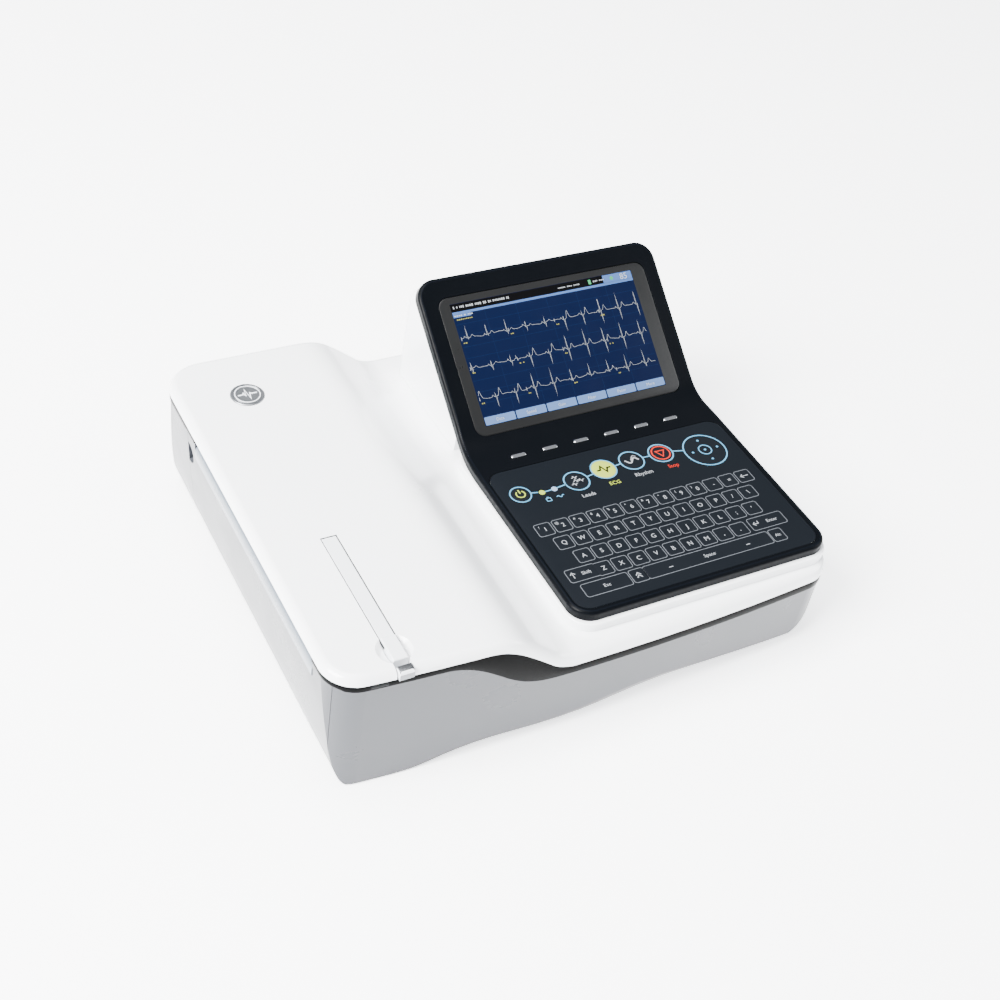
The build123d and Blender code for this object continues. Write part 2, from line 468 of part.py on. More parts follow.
TR_X0, TR_X1, TR_Y0, TR_Y1, TR_Z0 = 14.5, 164.0, 27.0, 251.0, 10.0
TR_H = 58.0
tray = rbx(TR_X0, TR_X1, TR_Y0, TR_Y1, TR_Z0, TR_H, 4)
tray = tray - rbx(TR_X0 + 2.4, TR_X1 - 2.4, TR_Y0 + 2.4, TR_Y1 - 2.4, TR_Z0 + 2.4, TR_H + 1, 2.5)
# thumb notch in the rear wall, and slots in the floor
tray = tray - rbx(TR_X1 - 6, TR_X1 + 3, 119, 159, 40, 70, 2)
for i in range(5):
    tray = tray - rbx(50 + i * 20, 56 + i * 20, 60, 218, 0, 20, 2.5)
# cheeks that carry the platen
for y0, y1 in ((TR_Y0, TR_Y0 + 4.0), (TR_Y1 - 4.0, TR_Y1)):
    cheek = bx(TR_X0, 34.0, y0, y1, TR_H - 12, 84.4) + cy(PLATEN_X, PLATEN_Z, y0, y1, 6.8)
    cheek = cheek + bx(TR_X0, 46, y0, y1, TR_H - 12, 62)
    tray = tray + cheek
for y0, y1 in ((TR_Y0 - 1, TR_Y0 + 5), (TR_Y1 - 5, TR_Y1 + 1)):
    tray = tray - cy(PLATEN_X, PLATEN_Z, y0, y1, 4.5)
# outer runners
for y0, y1 in ((TR_Y0 - 4.4, TR_Y0 + 0.2), (TR_Y1 - 0.2, TR_Y1 + 4.4)):
    tray = tray + bx(26, 160, y0, y1, 33.0, 37.0)
# paper guide rail at the mouth
tray = tray + cy(44.0, 62.0, TR_Y0 + 3, TR_Y1 - 3, 2.2)
save("paper_tray", one(tray))

pack = bx(TR_X0 + 4.1, TR_X0 + 4.1 + 140, 29.8, 29.8 + 210, TR_Z0 + 2.7, TR_Z0 + 27.0)
save("paper_pack", one(pack))
stop = bx(TR_X0 + 4.1, TR_X1 - 4.1, 240.2, 242.6, TR_Z0 + 2.9, 44) + bx(TR_X0 + 4.1, TR_X1 - 4.1, 240.0, 242.7, 44, 45.6)
for i in range(4):
    stop = stop - bx(30 + i * 32, 52 + i * 32, 238, 250, 20, 38)
save("paper_stop", one(stop))
# platen roller with its shaft, gear and bushes
shaft = cy(PLATEN_X, PLATEN_Z, TR_Y0 - 1.5, GEAR_Y1 + 0.6, 3.0)
save("platen_shaft", one(shaft))
rubber = cy(PLATEN_X, PLATEN_Z, 33.5, 244.5, PLATEN_R) - cy(PLATEN_X, PLATEN_Z, 20, 260, 3.0)
save("platen_rubber", one(rubber))

def gear(n, y0, y1, x, z, bore, phase=0.0, hub=0.0, hub_len=0.0, holes=0):
    """a spur gear with its axis along Y; a tooth points at phase degrees from +X towards +Z"""
    rp, ro, rr = MOD * n / 2, MOD * n / 2 + MOD * 0.92, MOD * n / 2 - MOD * 1.2
    pts = []
    step = 2 * pi / n
    for k in range(n):
        a = radians(phase) + k * step
        for da, r in ((-0.5 + 0.02, rr), (-0.335, rr), (-0.232, rp), (-0.11, ro), (0.11, ro), (0.232, rp), (0.335, rr)):
            pts.append((x + r * cos(a + da * step), z + r * sin(a + da * step)))
    f = Plane.XZ * make_face(Polyline(*pts, close=True))
    g = Pos(0, y1, 0) * extrude(f, y1 - y0)
    if hub:
        g = g + cy(x, z, y0 - hub_len, y1, hub)
    for k in range(holes):
        a = 2 * pi * k / holes + 0.3
        g = g - cy(x + rp * 0.58 * cos(a), z + rp * 0.58 * sin(a), y0 - 1, y1 + 1, rp * 0.17)
    return g - cy(x, z, y0 - hub_len - 1, y1 + 1, bore)

save("platen_gear", one(gear(N_PLATEN, GEAR_Y0, GEAR_Y1 - 0.2, PLATEN_X, PLATEN_Z, 3.0, 0.0)))
bushes = []
for y0, y1 in ((TR_Y0, TR_Y0 + 4.0), (TR_Y1 - 4.0, TR_Y1)):
    b = cy(PLATEN_X, PLATEN_Z, y0, y1, 4.5)
    b = b + (cy(PLATEN_X, PLATEN_Z, TR_Y0 + 4.0, TR_Y0 + 4.9, 5.6) if y0 < 100 else cy(PLATEN_X, PLATEN_Z, TR_Y1 - 4.9, TR_Y1 - 4.0, 5.6))
    bushes.append(one(b - cy(PLATEN_X, PLATEN_Z, y0 - 4, y1 + 4, 3.05)))
save("platen_bushes", Compound(children=bushes))

# ---------------------------------------------------------------- print mechanism, fixed
IDX = PLATEN_X + MOD * (N_PLATEN + N_IDLER) / 2 + 0.05
IDZ = PLATEN_Z
da = radians(-52)
PNX = IDX + (MOD * (N_IDLER + N_PINION) / 2 + 0.05) * cos(da)
PNZ = IDZ + (MOD * (N_IDLER + N_PINION) / 2 + 0.05) * sin(da)
CH_Y0, CH_Y1 = 258.2, 260.2
side = bx(32, 128, CH_Y0, CH_Y1, 30.0, 96.0) - cy(IDX, IDZ, 250, 270, 2.0) - cy(PNX, PNZ, 250, 270, 5.5)
side = side - rbx(80, 118, 250, 270, 40, 41, 0.4)
side = side & (Pos(0, 270, 0) * extrude(Plane.XZ * make_face(Polyline((30, 30.4), (130, 30.4), (130, 84), (112, 96), (30, 96), close=True)), 20))
foot = bx(60, 124, CH_Y1 - 0.1, CH_Y1 + 12, 30.4, 32.0)
save("rear_side_plate", one(side + foot))
side2 = bx(32, 128, 20.0, 22.0, 30.4, 96.0)
side2 = side2 & (Pos(0, 40, 0) * extrude(Plane.XZ * make_face(Polyline((30, 30.4), (130, 30.4), (130, 84), (112, 96), (30, 96), close=True)), 40))
side2 = side2 - bx(LEV_X0 - 3.2, LEV_X1 + 3.2, 19, 23, 92.3, 100)
save("front_side_plate", one(side2))
# head: ceramic strip on a heat sink under a cross beam, with springs
beam = bx(32, 64, 22.0, 258.2, 93.4, 95.4)
beam = beam + bx(62.4, 64, 22.0, 258.2, 88.0, 95.4) + bx(12, 34, 44, 236, 98.6, 100.2) + bx(31, 34, 44, 236, 93.4, 100.2)
beam = beam - bx(10, 57, 251.6, 258.3, 80, 101)
beam = beam - bx(LEV_X0 - 3.2, LEV_X1 + 3.2, 20, LEV_Y1 + 3.6, 92.2, 97)
save("head_beam", one(beam))
hs = bx(12.5, 38, 38.0, 242.0, 93.0, 96.0) - bx(30.5, 40, 20, 260, 93.2, 97)
for i in range(15):
    hs = hs - bx(14, 30, 44 + i * 13.4, 49 + i * 13.4, 94.8, 97)
save("head_heatsink", one(hs))
strip_ = bx(12.5, 30.5, 38.0, 242.0, 92.35, 93.0) + cy(PLATEN_X, 92.55, 38.0, 242.0, 0.45) 
strip_ = strip_ & bx(12, 31, 38, 242, 92.1, 93.0)
save("print_head", one(strip_))
idler = gear(N_IDLER, GEAR_Y0, GEAR_Y1 - 0.2, IDX, IDZ, 2.05, 180.0 + 180.0 / N_IDLER, 4.0, 0.0, 5)
save("idler_gear", one(idler))
save("idler_pin", one(cy(IDX, IDZ, GEAR_Y0 - 1.6, CH_Y1, 2.0) + (cy(IDX, IDZ, GEAR_Y0 - 1.6, GEAR_Y0 - 0.4, 3.4))))
# the pinion's teeth sit in the idler's gaps on the line between their centres
def mesh_phase(n_from, phase_from, n_to, ang):
    """phase of the second gear so that its tooth meets the first one's gap along ang degrees"""
    step_f, step_t = 360.0 / n_from, 360.0 / n_to
    frac = ((ang - phase_from) / step_f) % 1.0      # where the line falls in the first gear's pitch
    # same place in the second gear's pitch, turned half a pitch and mirrored
    return ang + 180.0 + (frac - 0.5) * step_t
ph_p = mesh_phase(N_IDLER, 180.0 + 180.0 / N_IDLER, N_PINION, -52.0)
pinion = gear(N_PINION, GEAR_Y0, GEAR_Y1 - 0.2, PNX, PNZ, 1.5, ph_p)
mshaft = pinion + cy(PNX, PNZ, GEAR_Y0, 263.0, 1.5) + cy(PNX, PNZ, 263.0, 278.0, 11.5)
save("motor_rotor", one(mshaft))
motor = rbx(PNX - 17.5, PNX + 17.5, PNZ - 17.5, PNZ + 17.5, 0, 20, 4)
motor = Pos(0, 281.0, 0) * (Plane.XZ * Pos(0, 0, 0) * extrude(Pos(PNX, PNZ, 0) * RectangleRounded(35, 35, 4), 20.6))
motor = motor + cy(PNX, PNZ, CH_Y0 + 0.3, 262, 5.4)
motor = motor - cy(PNX, PNZ, 262.4, 278.6, 12.0) - cy(PNX, PNZ, 250, 270, 2.2)
save("stepper_motor", one(motor))
# ---------------------------------------------------------------- electronics
mb = bx(MB[0], MB[1], MB[2], MB[3], MB[4], MB[4] + 1.6)
mb = mb - bx(300, 380, 20, 50, 40, 46)
for px, py in [(184, 38), (360, 60), (184, 197), (358, 197)]:
    mb = mb - cz(px, py, 40, 46, 1.6)
save("main_board", one(mb))
def chip(x, y, w, d, h, z=MB[4] + 1.6):
    return bx(x - w / 2, x + w / 2, y - d / 2, y + d / 2, z, z + h)
phs = chip(250, 120, 30, 30, 3.0)
for i in range(8):
    phs = phs + bx(235 + i * 4.0, 236.6 + i * 4.0, 105, 135, MB[4] + 4.5, MB[4] + 14)
save("processor_heatsink", one(phs))
shield = chip(330, 120, 44, 66, 8) - chip(330, 120, 42.8, 64.8, 7.4, MB[4] + 1.5)
save("input_shield", one(shield))
BP = (203.0, 337.0, 52.0, 126.0)
save("battery_pack", one(rim(bx(BP[0], BP[1], BP[2], BP[3], 8.6, 29.2), lambda s: s.edges(), 2.0)))
bd = rbx(BAT[0] + 0.4, BAT[1] - 0.4, BAT[2] + 0.4, BAT[3] - 0.4, FLOOR_Z + 0.05, FLOOR_Z + 2.5, 3.6)
for i in range(6):
    bd = bd - rbx(244 + i * 9, 248 + i * 9, BAT[3] - 14, BAT[3] - 6, 0, FLOOR_Z + 0.9, 1.8)
save("battery_door", one(bd))

# power supply: a vented metal can on four stand-offs that stand on the floor
psu = bx(228, 316, 212, 286, 12.0, 40.0) - bx(229, 315, 213, 285, 13.0, 39.0)
for i in range(10):
    psu = psu - rbx(236 + i * 7.6, 240 + i * 7.6, 222, 276, 38, 42, 1.9)
for px, py in ((236, 220), (308, 220), (236, 278), (308, 278)):
    psu = psu + cz(px, py, FLOOR_IN + 0.1, 12.5, 3.0)
save("power_supply", one(psu))

spk = cz(SPK[0], SPK[1], FLOOR_IN + 0.1, FLOOR_IN + 4, 17) + cz(SPK[0], SPK[1], FLOOR_IN + 3.9, FLOOR_IN + 12, 11)
save("speaker", one(spk))

# ---------------------------------------------------------------- rear panel and its sockets
RP_Y = Y_BACK - 6.5
rp = bx(REAR_X0 - 4, REAR_X1 + 4, RP_Y - 1.5, RP_Y, REAR_Z0 - 3, REAR_Z1 + 3)
rp = rp & (plan(BASE_IN + WALL + 0.1, 0, 110) & hull(BASE_IN + WALL + 0.1) & side_round(BASE_IN + WALL + 0.1))
INL_X, INL_Z = 332.0, 33.0
rp = rp - bx(INL_X - 13.9, INL_X + 13.9, RP_Y - 5, RP_Y + 5, INL_Z - 10.2, INL_Z + 10.2)
EQ = (303.0, 27.0)
rp = rp - cy(EQ[0], EQ[1], RP_Y - 5, RP_Y + 5, 3.1)
LANP = (282.0, 33.0)
USB = [(258.0, 36.0), (258.0, 26.0)]
rp = rp - bx(LANP[0] - 8.1, LANP[0] + 8.1, RP_Y - 5, RP_Y + 5, LANP[1] - 6.9, LANP[1] + 6.9)
for ux, uz in USB:
    rp = rp - bx(ux - 7.4, ux + 7.4, RP_Y - 5, RP_Y + 5, uz - 3.5, uz + 3.5)
save("rear_panel", one(rp))

inl = bx(INL_X - 13.5, INL_X + 13.5, RP_Y - 22, RP_Y + 0.2, INL_Z - 9.8, INL_Z + 9.8)
inl = inl + bx(INL_X - 16.5, INL_X + 16.5, RP_Y + 0.1, RP_Y + 2.2, INL_Z - 12.5, INL_Z + 12.5)
mouth = Pos(INL_X, RP_Y + 3, INL_Z) * Rot(90, 0, 0) * extrude(RectangleRounded(24.4, 16.8, 3.2), 18)
inl = inl - mouth
pins = []
for i, (dx, dz) in enumerate(((-7, -1.2), (7, -1.2), (0, 2.4))):
    p = bx(INL_X + dx - 1, INL_X + dx + 1, RP_Y - 26, RP_Y - 2.5, INL_Z + dz - 2, INL_Z + dz + 2)
    pins.append(p)
    inl = inl - bx(INL_X + dx - 1, INL_X + dx + 1, RP_Y - 23, RP_Y - 2.5, INL_Z + dz - 2, INL_Z + dz + 2)
save("mains_inlet", one(inl))
save("inlet_pins", Compound(children=[one(p) for p in pins]))
stud = cy(EQ[0], EQ[1], RP_Y - 8, RP_Y + 0.9, 3.0) + cy(EQ[0], EQ[1], RP_Y + 0.0, RP_Y + 1.6, 4.6) + cy(EQ[0], EQ[1], RP_Y + 1.5, RP_Y + 6.3, 3.0)
save("earth_stud", one(stud))
lan = bx(LANP[0] - 7.9, LANP[0] + 7.9, RP_Y - 16, RP_Y + 0.8, LANP[1] - 6.7, LANP[1] + 6.7)
lan = lan - bx(LANP[0] - 5.9, LANP[0] + 5.9, RP_Y - 12, RP_Y + 3, LANP[1] - 4.2, LANP[1] + 2.6) - bx(LANP[0] - 3, LANP[0] + 3, RP_Y - 12, RP_Y + 3, LANP[1] + 2.5, LANP[1] + 5.0)
save("network_socket", one(lan))
usb = []
for i, (ux, uz) in enumerate(USB):
    u = bx(ux - 7.2, ux + 7.2, RP_Y - 14, RP_Y + 0.8, uz - 3.3, uz + 3.3) - bx(ux - 6.3, ux + 6.3, RP_Y - 12, RP_Y + 3, uz - 2.45, uz + 2.45)
    u = u + bx(ux - 5.6, ux + 5.6, RP_Y - 12.5, RP_Y - 0.5, uz + 0.2, uz + 1.9)
    usb.append(one(u))
save("usb_sockets", Compound(children=usb))
# ---------------------------------------------------------------- patient connector on the right side
PF_X = WIDTH - 9.0
pf = bx(PF_X - 2.0, PF_X, SIDE_Y0 - 3, SIDE_Y1 + 3, SIDE_Z0 - 3, SIDE_Z1 + 3)
pf = pf & (plan(BASE_IN + WALL + 0.2, 0, 110) & hull(BASE_IN + WALL + 0.2))
sleeve = bx(PF_X - 1, WIDTH - 2.2, SIDE_Y0 + 0.3, SIDE_Y1 - 0.3, SIDE_Z0 + 0.3, SIDE_Z1 - 0.3) - bx(PF_X - 2, WIDTH, SIDE_Y0 + 1.7, SIDE_Y1 - 1.7, SIDE_Z0 + 1.7, SIDE_Z1 - 1.7)
sleeve = sleeve & (plan(BASE_IN + 0.2, 0, 110) & hull(BASE_IN + 0.2))
PC = (116.0, 41.0)
pf = pf + sleeve
def dsub(y, z, w, h, x0, x1, r=3.0):
    return Pos(x0, y, z) * (Plane.YZ * extrude(RectangleRounded(w, h, r), x1 - x0))
pf = pf - dsub(PC[0], PC[1], 28.6, 11.4, PF_X - 5, PF_X + 5)
save("side_socket_frame", one(pf))
pc = dsub(PC[0], PC[1], 28.0, 10.8, PF_X - 12, PF_X + 3.4) - dsub(PC[0], PC[1], 25.2, 8.2, PF_X - 6, PF_X + 5, 2.4)
for i in range(8):
    pc = pc + cx(PC[0] - 9.7 + i * 2.77, PC[1] + 1.42, PF_X - 7, PF_X + 0.8, 0.5)
for i in range(7):
    pc = pc + cx(PC[0] - 8.31 + i * 2.77, PC[1] - 1.42, PF_X - 7, PF_X + 0.8, 0.5)
save("patient_socket", one(pc))
# ---------------------------------------------------------------- feet and screws
feet = []
for fx, fy in FEET:
    ft = cz(fx, fy, 0, foot_top(fx), 8.0)
    feet.append(one(rim(ft, lambda q: q.edges().sort_by(Axis.Z)[:1], 1.0)))
save("feet", Compound(children=feet))
def screw(x, y, z_head, length, r_head, r):
    return cz(x, y, z_head, z_head + 2.2, r_head) + cz(x, y, z_head + 2.1, z_head + length, r) - (Pos(x, y, z_head + 0.6) * Box(r_head * 1.2, 0.7, 1.4)) - (Pos(x, y, z_head + 0.6) * Box(0.7, r_head * 1.2, 1.4))
sc = [screw(sx, sy, 9.7, 40, 3.0, 1.5) for sx, sy in SCREWS]
c = Compound(children=[one(q) for q in sc])
save("case_screws", c)
print("parts written:", len(os.listdir("parts")))
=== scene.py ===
import bpy, json, math
import numpy as np
from math import sin, cos, tan, radians, pi, sqrt, atan2
from mathutils import Vector, Matrix
from mathutils.geometry import delaunay_2d_cdt


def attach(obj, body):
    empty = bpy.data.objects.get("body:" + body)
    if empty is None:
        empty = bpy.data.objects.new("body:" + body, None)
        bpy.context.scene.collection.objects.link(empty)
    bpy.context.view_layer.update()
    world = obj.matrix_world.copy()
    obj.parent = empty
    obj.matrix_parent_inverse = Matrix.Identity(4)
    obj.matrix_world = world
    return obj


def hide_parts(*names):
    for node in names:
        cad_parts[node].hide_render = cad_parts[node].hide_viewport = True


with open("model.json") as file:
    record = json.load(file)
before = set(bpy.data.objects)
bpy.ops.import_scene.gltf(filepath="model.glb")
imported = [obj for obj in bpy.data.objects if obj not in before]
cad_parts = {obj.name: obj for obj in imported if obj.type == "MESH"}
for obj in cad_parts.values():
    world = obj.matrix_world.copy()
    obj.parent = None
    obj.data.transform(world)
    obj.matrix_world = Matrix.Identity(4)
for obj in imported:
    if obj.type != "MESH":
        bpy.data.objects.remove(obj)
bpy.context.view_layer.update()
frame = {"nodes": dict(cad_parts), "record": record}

SC = bpy.context.scene
NODES = frame["nodes"]

# lengths below are in millimetres from the machine's front left corner on the table;
# this moves them to the frame of the model
OX, OY = 195.0, 159.2


def mm(x, y, z):
    return ((x - OX) * 0.001, (y - OY) * 0.001, z * 0.001)


# ------------------------------------------------------------------ materials
def material(name, color, rough=0.4, metal=0.0, coat=0.0, coat_rough=0.04, spec=0.5, ior=1.47,
             cscale=22.0, cvar=0.03, rscale=35.0, rvar=0.05, bscale=1400.0, bump=0.000004, bstr=0.35,
             bevel=0.0, emit=None, estr=0.0, aniso=0.0, wave=0.0, sheen=0.0, fleck=0.0):
    m = bpy.data.materials.new(name)
    m.use_nodes = True
    nt = m.node_tree
    nd, ln = nt.nodes, nt.links
    b = nd["Principled BSDF"]
    tc = nd.new("ShaderNodeTexCoord")
    src = tc.outputs["Object"]
    n1 = nd.new("ShaderNodeTexNoise")
    n1.inputs["Scale"].default_value = cscale
    n1.inputs["Detail"].default_value = 5.0
    n1.inputs["Roughness"].default_value = 0.55
    ln.new(src, n1.inputs["Vector"])
    mix = nd.new("ShaderNodeMix")
    mix.data_type = "RGBA"
    mix.inputs[6].default_value = tuple(max(0.0, c * (1 - cvar)) for c in color) + (1.0,)
    mix.inputs[7].default_value = tuple(min(1.0, c * (1 + cvar)) for c in color) + (1.0,)
    ln.new(n1.outputs["Fac"], mix.inputs[0])
    out_color = mix.outputs[2]
    if fleck:
        nf = nd.new("ShaderNodeTexNoise")
        nf.inputs["Scale"].default_value = 2600.0
        nf.inputs["Detail"].default_value = 2.0
        ln.new(src, nf.inputs["Vector"])
        rf = nd.new("ShaderNodeMapRange")
        rf.inputs["From Min"].default_value = 0.52
        rf.inputs["From Max"].default_value = 0.75
        rf.inputs["To Max"].default_value = fleck
        ln.new(nf.outputs["Fac"], rf.inputs["Value"])
        m2 = nd.new("ShaderNodeMix")
        m2.data_type = "RGBA"
        m2.inputs[7].default_value = tuple(min(1.0, c * 1.6 + 0.01) for c in color) + (1.0,)
        ln.new(out_color, m2.inputs[6])
        ln.new(rf.outputs["Result"], m2.inputs[0])
        out_color = m2.outputs[2]
    ln.new(out_color, b.inputs["Base Color"])
    n2 = nd.new("ShaderNodeTexNoise")
    n2.inputs["Scale"].default_value = rscale
    n2.inputs["Detail"].default_value = 7.0
    n2.inputs["Roughness"].default_value = 0.62
    n2.inputs["Distortion"].default_value = 0.4
    ln.new(src, n2.inputs["Vector"])
    mr = nd.new("ShaderNodeMapRange")
    mr.inputs["From Min"].default_value = 0.3
    mr.inputs["From Max"].default_value = 0.7
    mr.inputs["To Min"].default_value = max(0.015, rough - rvar)
    mr.inputs["To Max"].default_value = min(1.0, rough + rvar)
    ln.new(n2.outputs["Fac"], mr.inputs["Value"])
    ln.new(mr.outputs["Result"], b.inputs["Roughness"])
    n3 = nd.new("ShaderNodeTexNoise")
    n3.inputs["Scale"].default_value = bscale
    n3.inputs["Detail"].default_value = 3.0
    if wave:
        mp = nd.new("ShaderNodeMapping")
        mp.inputs["Scale"].default_value = (1.0, wave, 1.0)
        ln.new(src, mp.inputs["Vector"])
        ln.new(mp.outputs["Vector"], n3.inputs["Vector"])
    else:
        ln.new(src, n3.inputs["Vector"])
    bp = nd.new("ShaderNodeBump")
    bp.inputs["Distance"].default_value = bump
    bp.inputs["Strength"].default_value = bstr
    ln.new(n3.outputs["Fac"], bp.inputs["Height"])
    if bevel:
        bv = nd.new("ShaderNodeBevel")
        bv.samples = 4
        bv.inputs["Radius"].default_value = bevel
        ln.new(bv.outputs["Normal"], bp.inputs["Normal"])
    ln.new(bp.outputs["Normal"], b.inputs["Normal"])
    b.inputs["Metallic"].default_value = metal
    b.inputs["IOR"].default_value = ior
    b.inputs["Specular IOR Level"].default_value = spec
    b.inputs["Coat Weight"].default_value = coat
    b.inputs["Coat Roughness"].default_value = coat_rough
    b.inputs["Anisotropic"].default_value = aniso
    b.inputs["Sheen Weight"].default_value = sheen
    if emit:
        b.inputs["Emission Color"].default_value = tuple(emit) + (1.0,)
        b.inputs["Emission Strength"].default_value = estr
    return m


M = {
    "shell_silver": material("shell_silver", (0.034, 0.037, 0.044), 0.30, spec=0.3, coat=0.2, coat_rough=0.06, bscale=500, bump=0.000003, rscale=18, bevel=0.0003),
    "band_black": material("band_black", (0.0008, 0.0009, 0.001), 0.22, spec=0.02, rscale=60, rvar=0.03, bevel=0.00025),
    "window_grey": material("window_grey", (0.006, 0.007, 0.0075), 0.25, spec=0.03, rscale=60, rvar=0.03),
    "shell_white": material("shell_white", (0.86, 0.875, 0.895), 0.24, coat=0.45, coat_rough=0.05, cvar=0.008, bscale=420, bump=0.000003, rscale=14, bevel=0.0003),
    "panel_black": material("panel_black", (0.0011, 0.0015, 0.0022), 0.34, spec=0.045, bscale=2600, bump=0.000006, rscale=28, bevel=0.0003),
    "pcb": material("pcb", (0.012, 0.09, 0.035), 0.38, coat=0.3, fleck=0.3),
    "film": material("film", (0.62, 0.62, 0.58), 0.42, bscale=900),
    "overlay": material("overlay", (0.0026, 0.0036, 0.0052), 0.5, spec=0.07, bscale=3800, bump=0.000012, bstr=0.5, rscale=26, fleck=0.06),
    "lens": material("lens", (0.006, 0.0062, 0.0064), 0.30, spec=0.22, coat_rough=0.10, rscale=30, rvar=0.04),
    "lcd": material("lcd", (0.004, 0.012, 0.06), 0.16),
    "sheet_steel": material("sheet_steel", (0.55, 0.56, 0.57), 0.34, 1.0, wave=0.04, bscale=1800, bump=0.000006, aniso=0.4),
    "badge": material("badge", (0.27, 0.28, 0.295), 0.36, 1.0, bscale=2400, bump=0.000006, rscale=120, bevel=0.0002),
    "lever_grey": material("lever_grey", (0.70, 0.72, 0.75), 0.22, coat=0.4, cvar=0.01, bscale=420, bevel=0.0003),
    "pin_steel": material("pin_steel", (0.56, 0.56, 0.57), 0.24, 1.0, wave=0.05, bscale=2400, bump=0.000005),
    "ledge_grey": material("ledge_grey", (0.115, 0.135, 0.16), 0.28, coat=0.3, cvar=0.012, bevel=0.0003),
    "tray_grey": material("tray_grey", (0.34, 0.35, 0.37), 0.46, bscale=2200, bump=0.00001),
    "paper": material("paper", (0.86, 0.85, 0.82), 0.82, bscale=5200, bump=0.00002, bstr=0.5, sheen=0.1),
    "stop_black": material("stop_black", (0.02, 0.02, 0.022), 0.44, bscale=2400, bump=0.00001),
    "roller_rubber": material("roller_rubber", (0.016, 0.016, 0.017), 0.62, bscale=4200, bump=0.00002, bstr=0.6),
    "gear_white": material("gear_white", (0.78, 0.78, 0.74), 0.40, bscale=1800),
    "bush_brass": material("bush_brass", (0.62, 0.43, 0.16), 0.26, 1.0, bscale=2600),
    "aluminium": material("aluminium", (0.62, 0.63, 0.64), 0.34, 1.0, wave=0.05, bscale=2000, aniso=0.3),
    "head_ceramic": material("head_ceramic", (0.70, 0.68, 0.60), 0.22, coat=0.4),
    "motor_black": material("motor_black", (0.018, 0.018, 0.02), 0.36, bscale=2400, bump=0.00001),
    "tin": material("tin", (0.60, 0.60, 0.61), 0.30, 1.0, wave=0.08, bscale=1800),
    "battery": material("battery", (0.03, 0.045, 0.075), 0.42, bscale=1800),
    "speaker": material("speaker", (0.014, 0.014, 0.014), 0.66, bscale=3000, bump=0.00003),
    "panel_metal": material("panel_metal", (0.085, 0.09, 0.1), 0.42, bscale=3200, bump=0.00002, bstr=0.6, fleck=0.1),
    "socket_black": material("socket_black", (0.010, 0.010, 0.011), 0.36, bscale=2400, bump=0.00001),
    "foot_rubber": material("foot_rubber", (0.016, 0.016, 0.018), 0.72, bscale=3200, bump=0.00003, bstr=0.6),
    "softkey_chrome": material("softkey_chrome", (0.45, 0.46, 0.48), 0.2, 1.0, rscale=180, rvar=0.04, bevel=0.0002),
}
slot_of = {s["node"]: s.get("material_slot") for s in frame["record"]["subparts"]}
for node, obj in NODES.items():
    s = slot_of.get(node)
    if s in M:
        if obj.material_slots:
            for q in obj.material_slots:
                q.material = M[s]
        else:
            obj.data.materials.append(M[s])

ink_light = material("ink_light", (0.20, 0.21, 0.225), 0.5, spec=0.2)
ink_dim = material("ink_dim", (0.075, 0.082, 0.092), 0.5, spec=0.2)
# painted glow: the blue, lime and red print emit a faint light though print is no lamp; the lime also colours one real
# lamp, and the pale ink is a lamp
ink_blue_painted_glow = material("ink_blue_painted_glow", (0.055, 0.17, 0.27), 0.42, spec=0.2, emit=(0.2, 0.5, 0.72), estr=0.12)
ink_lime_lamp_and_painted_glow = material("ink_lime_lamp_and_painted_glow", (0.24, 0.29, 0.035), 0.42, spec=0.2, emit=(0.55, 0.62, 0.1), estr=0.12)
ink_red_painted_glow = material("ink_red_painted_glow", (0.30, 0.013, 0.006), 0.42, spec=0.2, emit=(0.74, 0.05, 0.022), estr=0.12)
ink_pale = material("ink_pale", (0.16, 0.22, 0.32), 0.36, spec=0.2, emit=(0.42, 0.56, 0.74), estr=0.12)
ink_black = material("ink_black", (0.0012, 0.0014, 0.0018), 0.4, spec=0.1)
pad_mat = material("key_pad", (0.0030, 0.0041, 0.0058), 0.48, spec=0.08, bscale=3800, bump=0.000012, bstr=0.5)
rim_gloss = material("rim_gloss", (0.001, 0.0013, 0.002), 0.12, spec=0.2, rvar=0.02)
# painted highlight: a little lighter than the panel's black, standing in for the light caught on the rim's top
rim_painted_highlight = material("rim_painted_highlight", (0.0022, 0.003, 0.0048), 0.3, spec=0.03)
glass_mat = material("picture_glass", (0.0012, 0.0030, 0.0135), 0.2, spec=0.12, cvar=0.12, cscale=9, emit=(0.002, 0.006, 0.034), estr=0.2)
pic_head = material("picture_header", (0.0008, 0.0008, 0.001), 0.2, spec=0.12)
pic_blue = material("picture_blue", (0.035, 0.07, 0.17), 0.2, spec=0.15, emit=(0.12, 0.22, 0.52), estr=0.1)
pic_tab = material("picture_tab", (0.055, 0.095, 0.19), 0.2, spec=0.15, emit=(0.20, 0.33, 0.62), estr=0.1)
pic_grid = material("picture_grid", (0.003, 0.008, 0.028), 0.2, spec=0.12, emit=(0.03, 0.08, 0.26), estr=0.06)
pic_trace = material("picture_trace", (0.14, 0.15, 0.155), 0.3, spec=0.2, emit=(0.8, 0.82, 0.82), estr=0.16)
pic_text = material("picture_text", (0.16, 0.17, 0.18), 0.3, spec=0.2, emit=(0.75, 0.8, 0.85), estr=0.18)
pic_yellow = material("picture_yellow", (0.12, 0.115, 0.025), 0.3, spec=0.2, emit=(0.62, 0.58, 0.1), estr=0.1)
pic_green = material("picture_green", (0.02, 0.16, 0.06), 0.3, spec=0.2, emit=(0.08, 0.6, 0.2), estr=0.12)
emblem_mat = material("badge_light", (0.62, 0.64, 0.67), 0.3, rscale=90, coat=0.2)
cap_mat = material("catch_metal", (0.17, 0.175, 0.185), 0.26, 1.0, wave=0.1, bscale=1800, rscale=90)
# painted shade: dark fill for the gap round the release lever
lever_gap_shade_mat = material("lever_gap_painted_shade", (0.012, 0.013, 0.015), 0.6, spec=0.1)


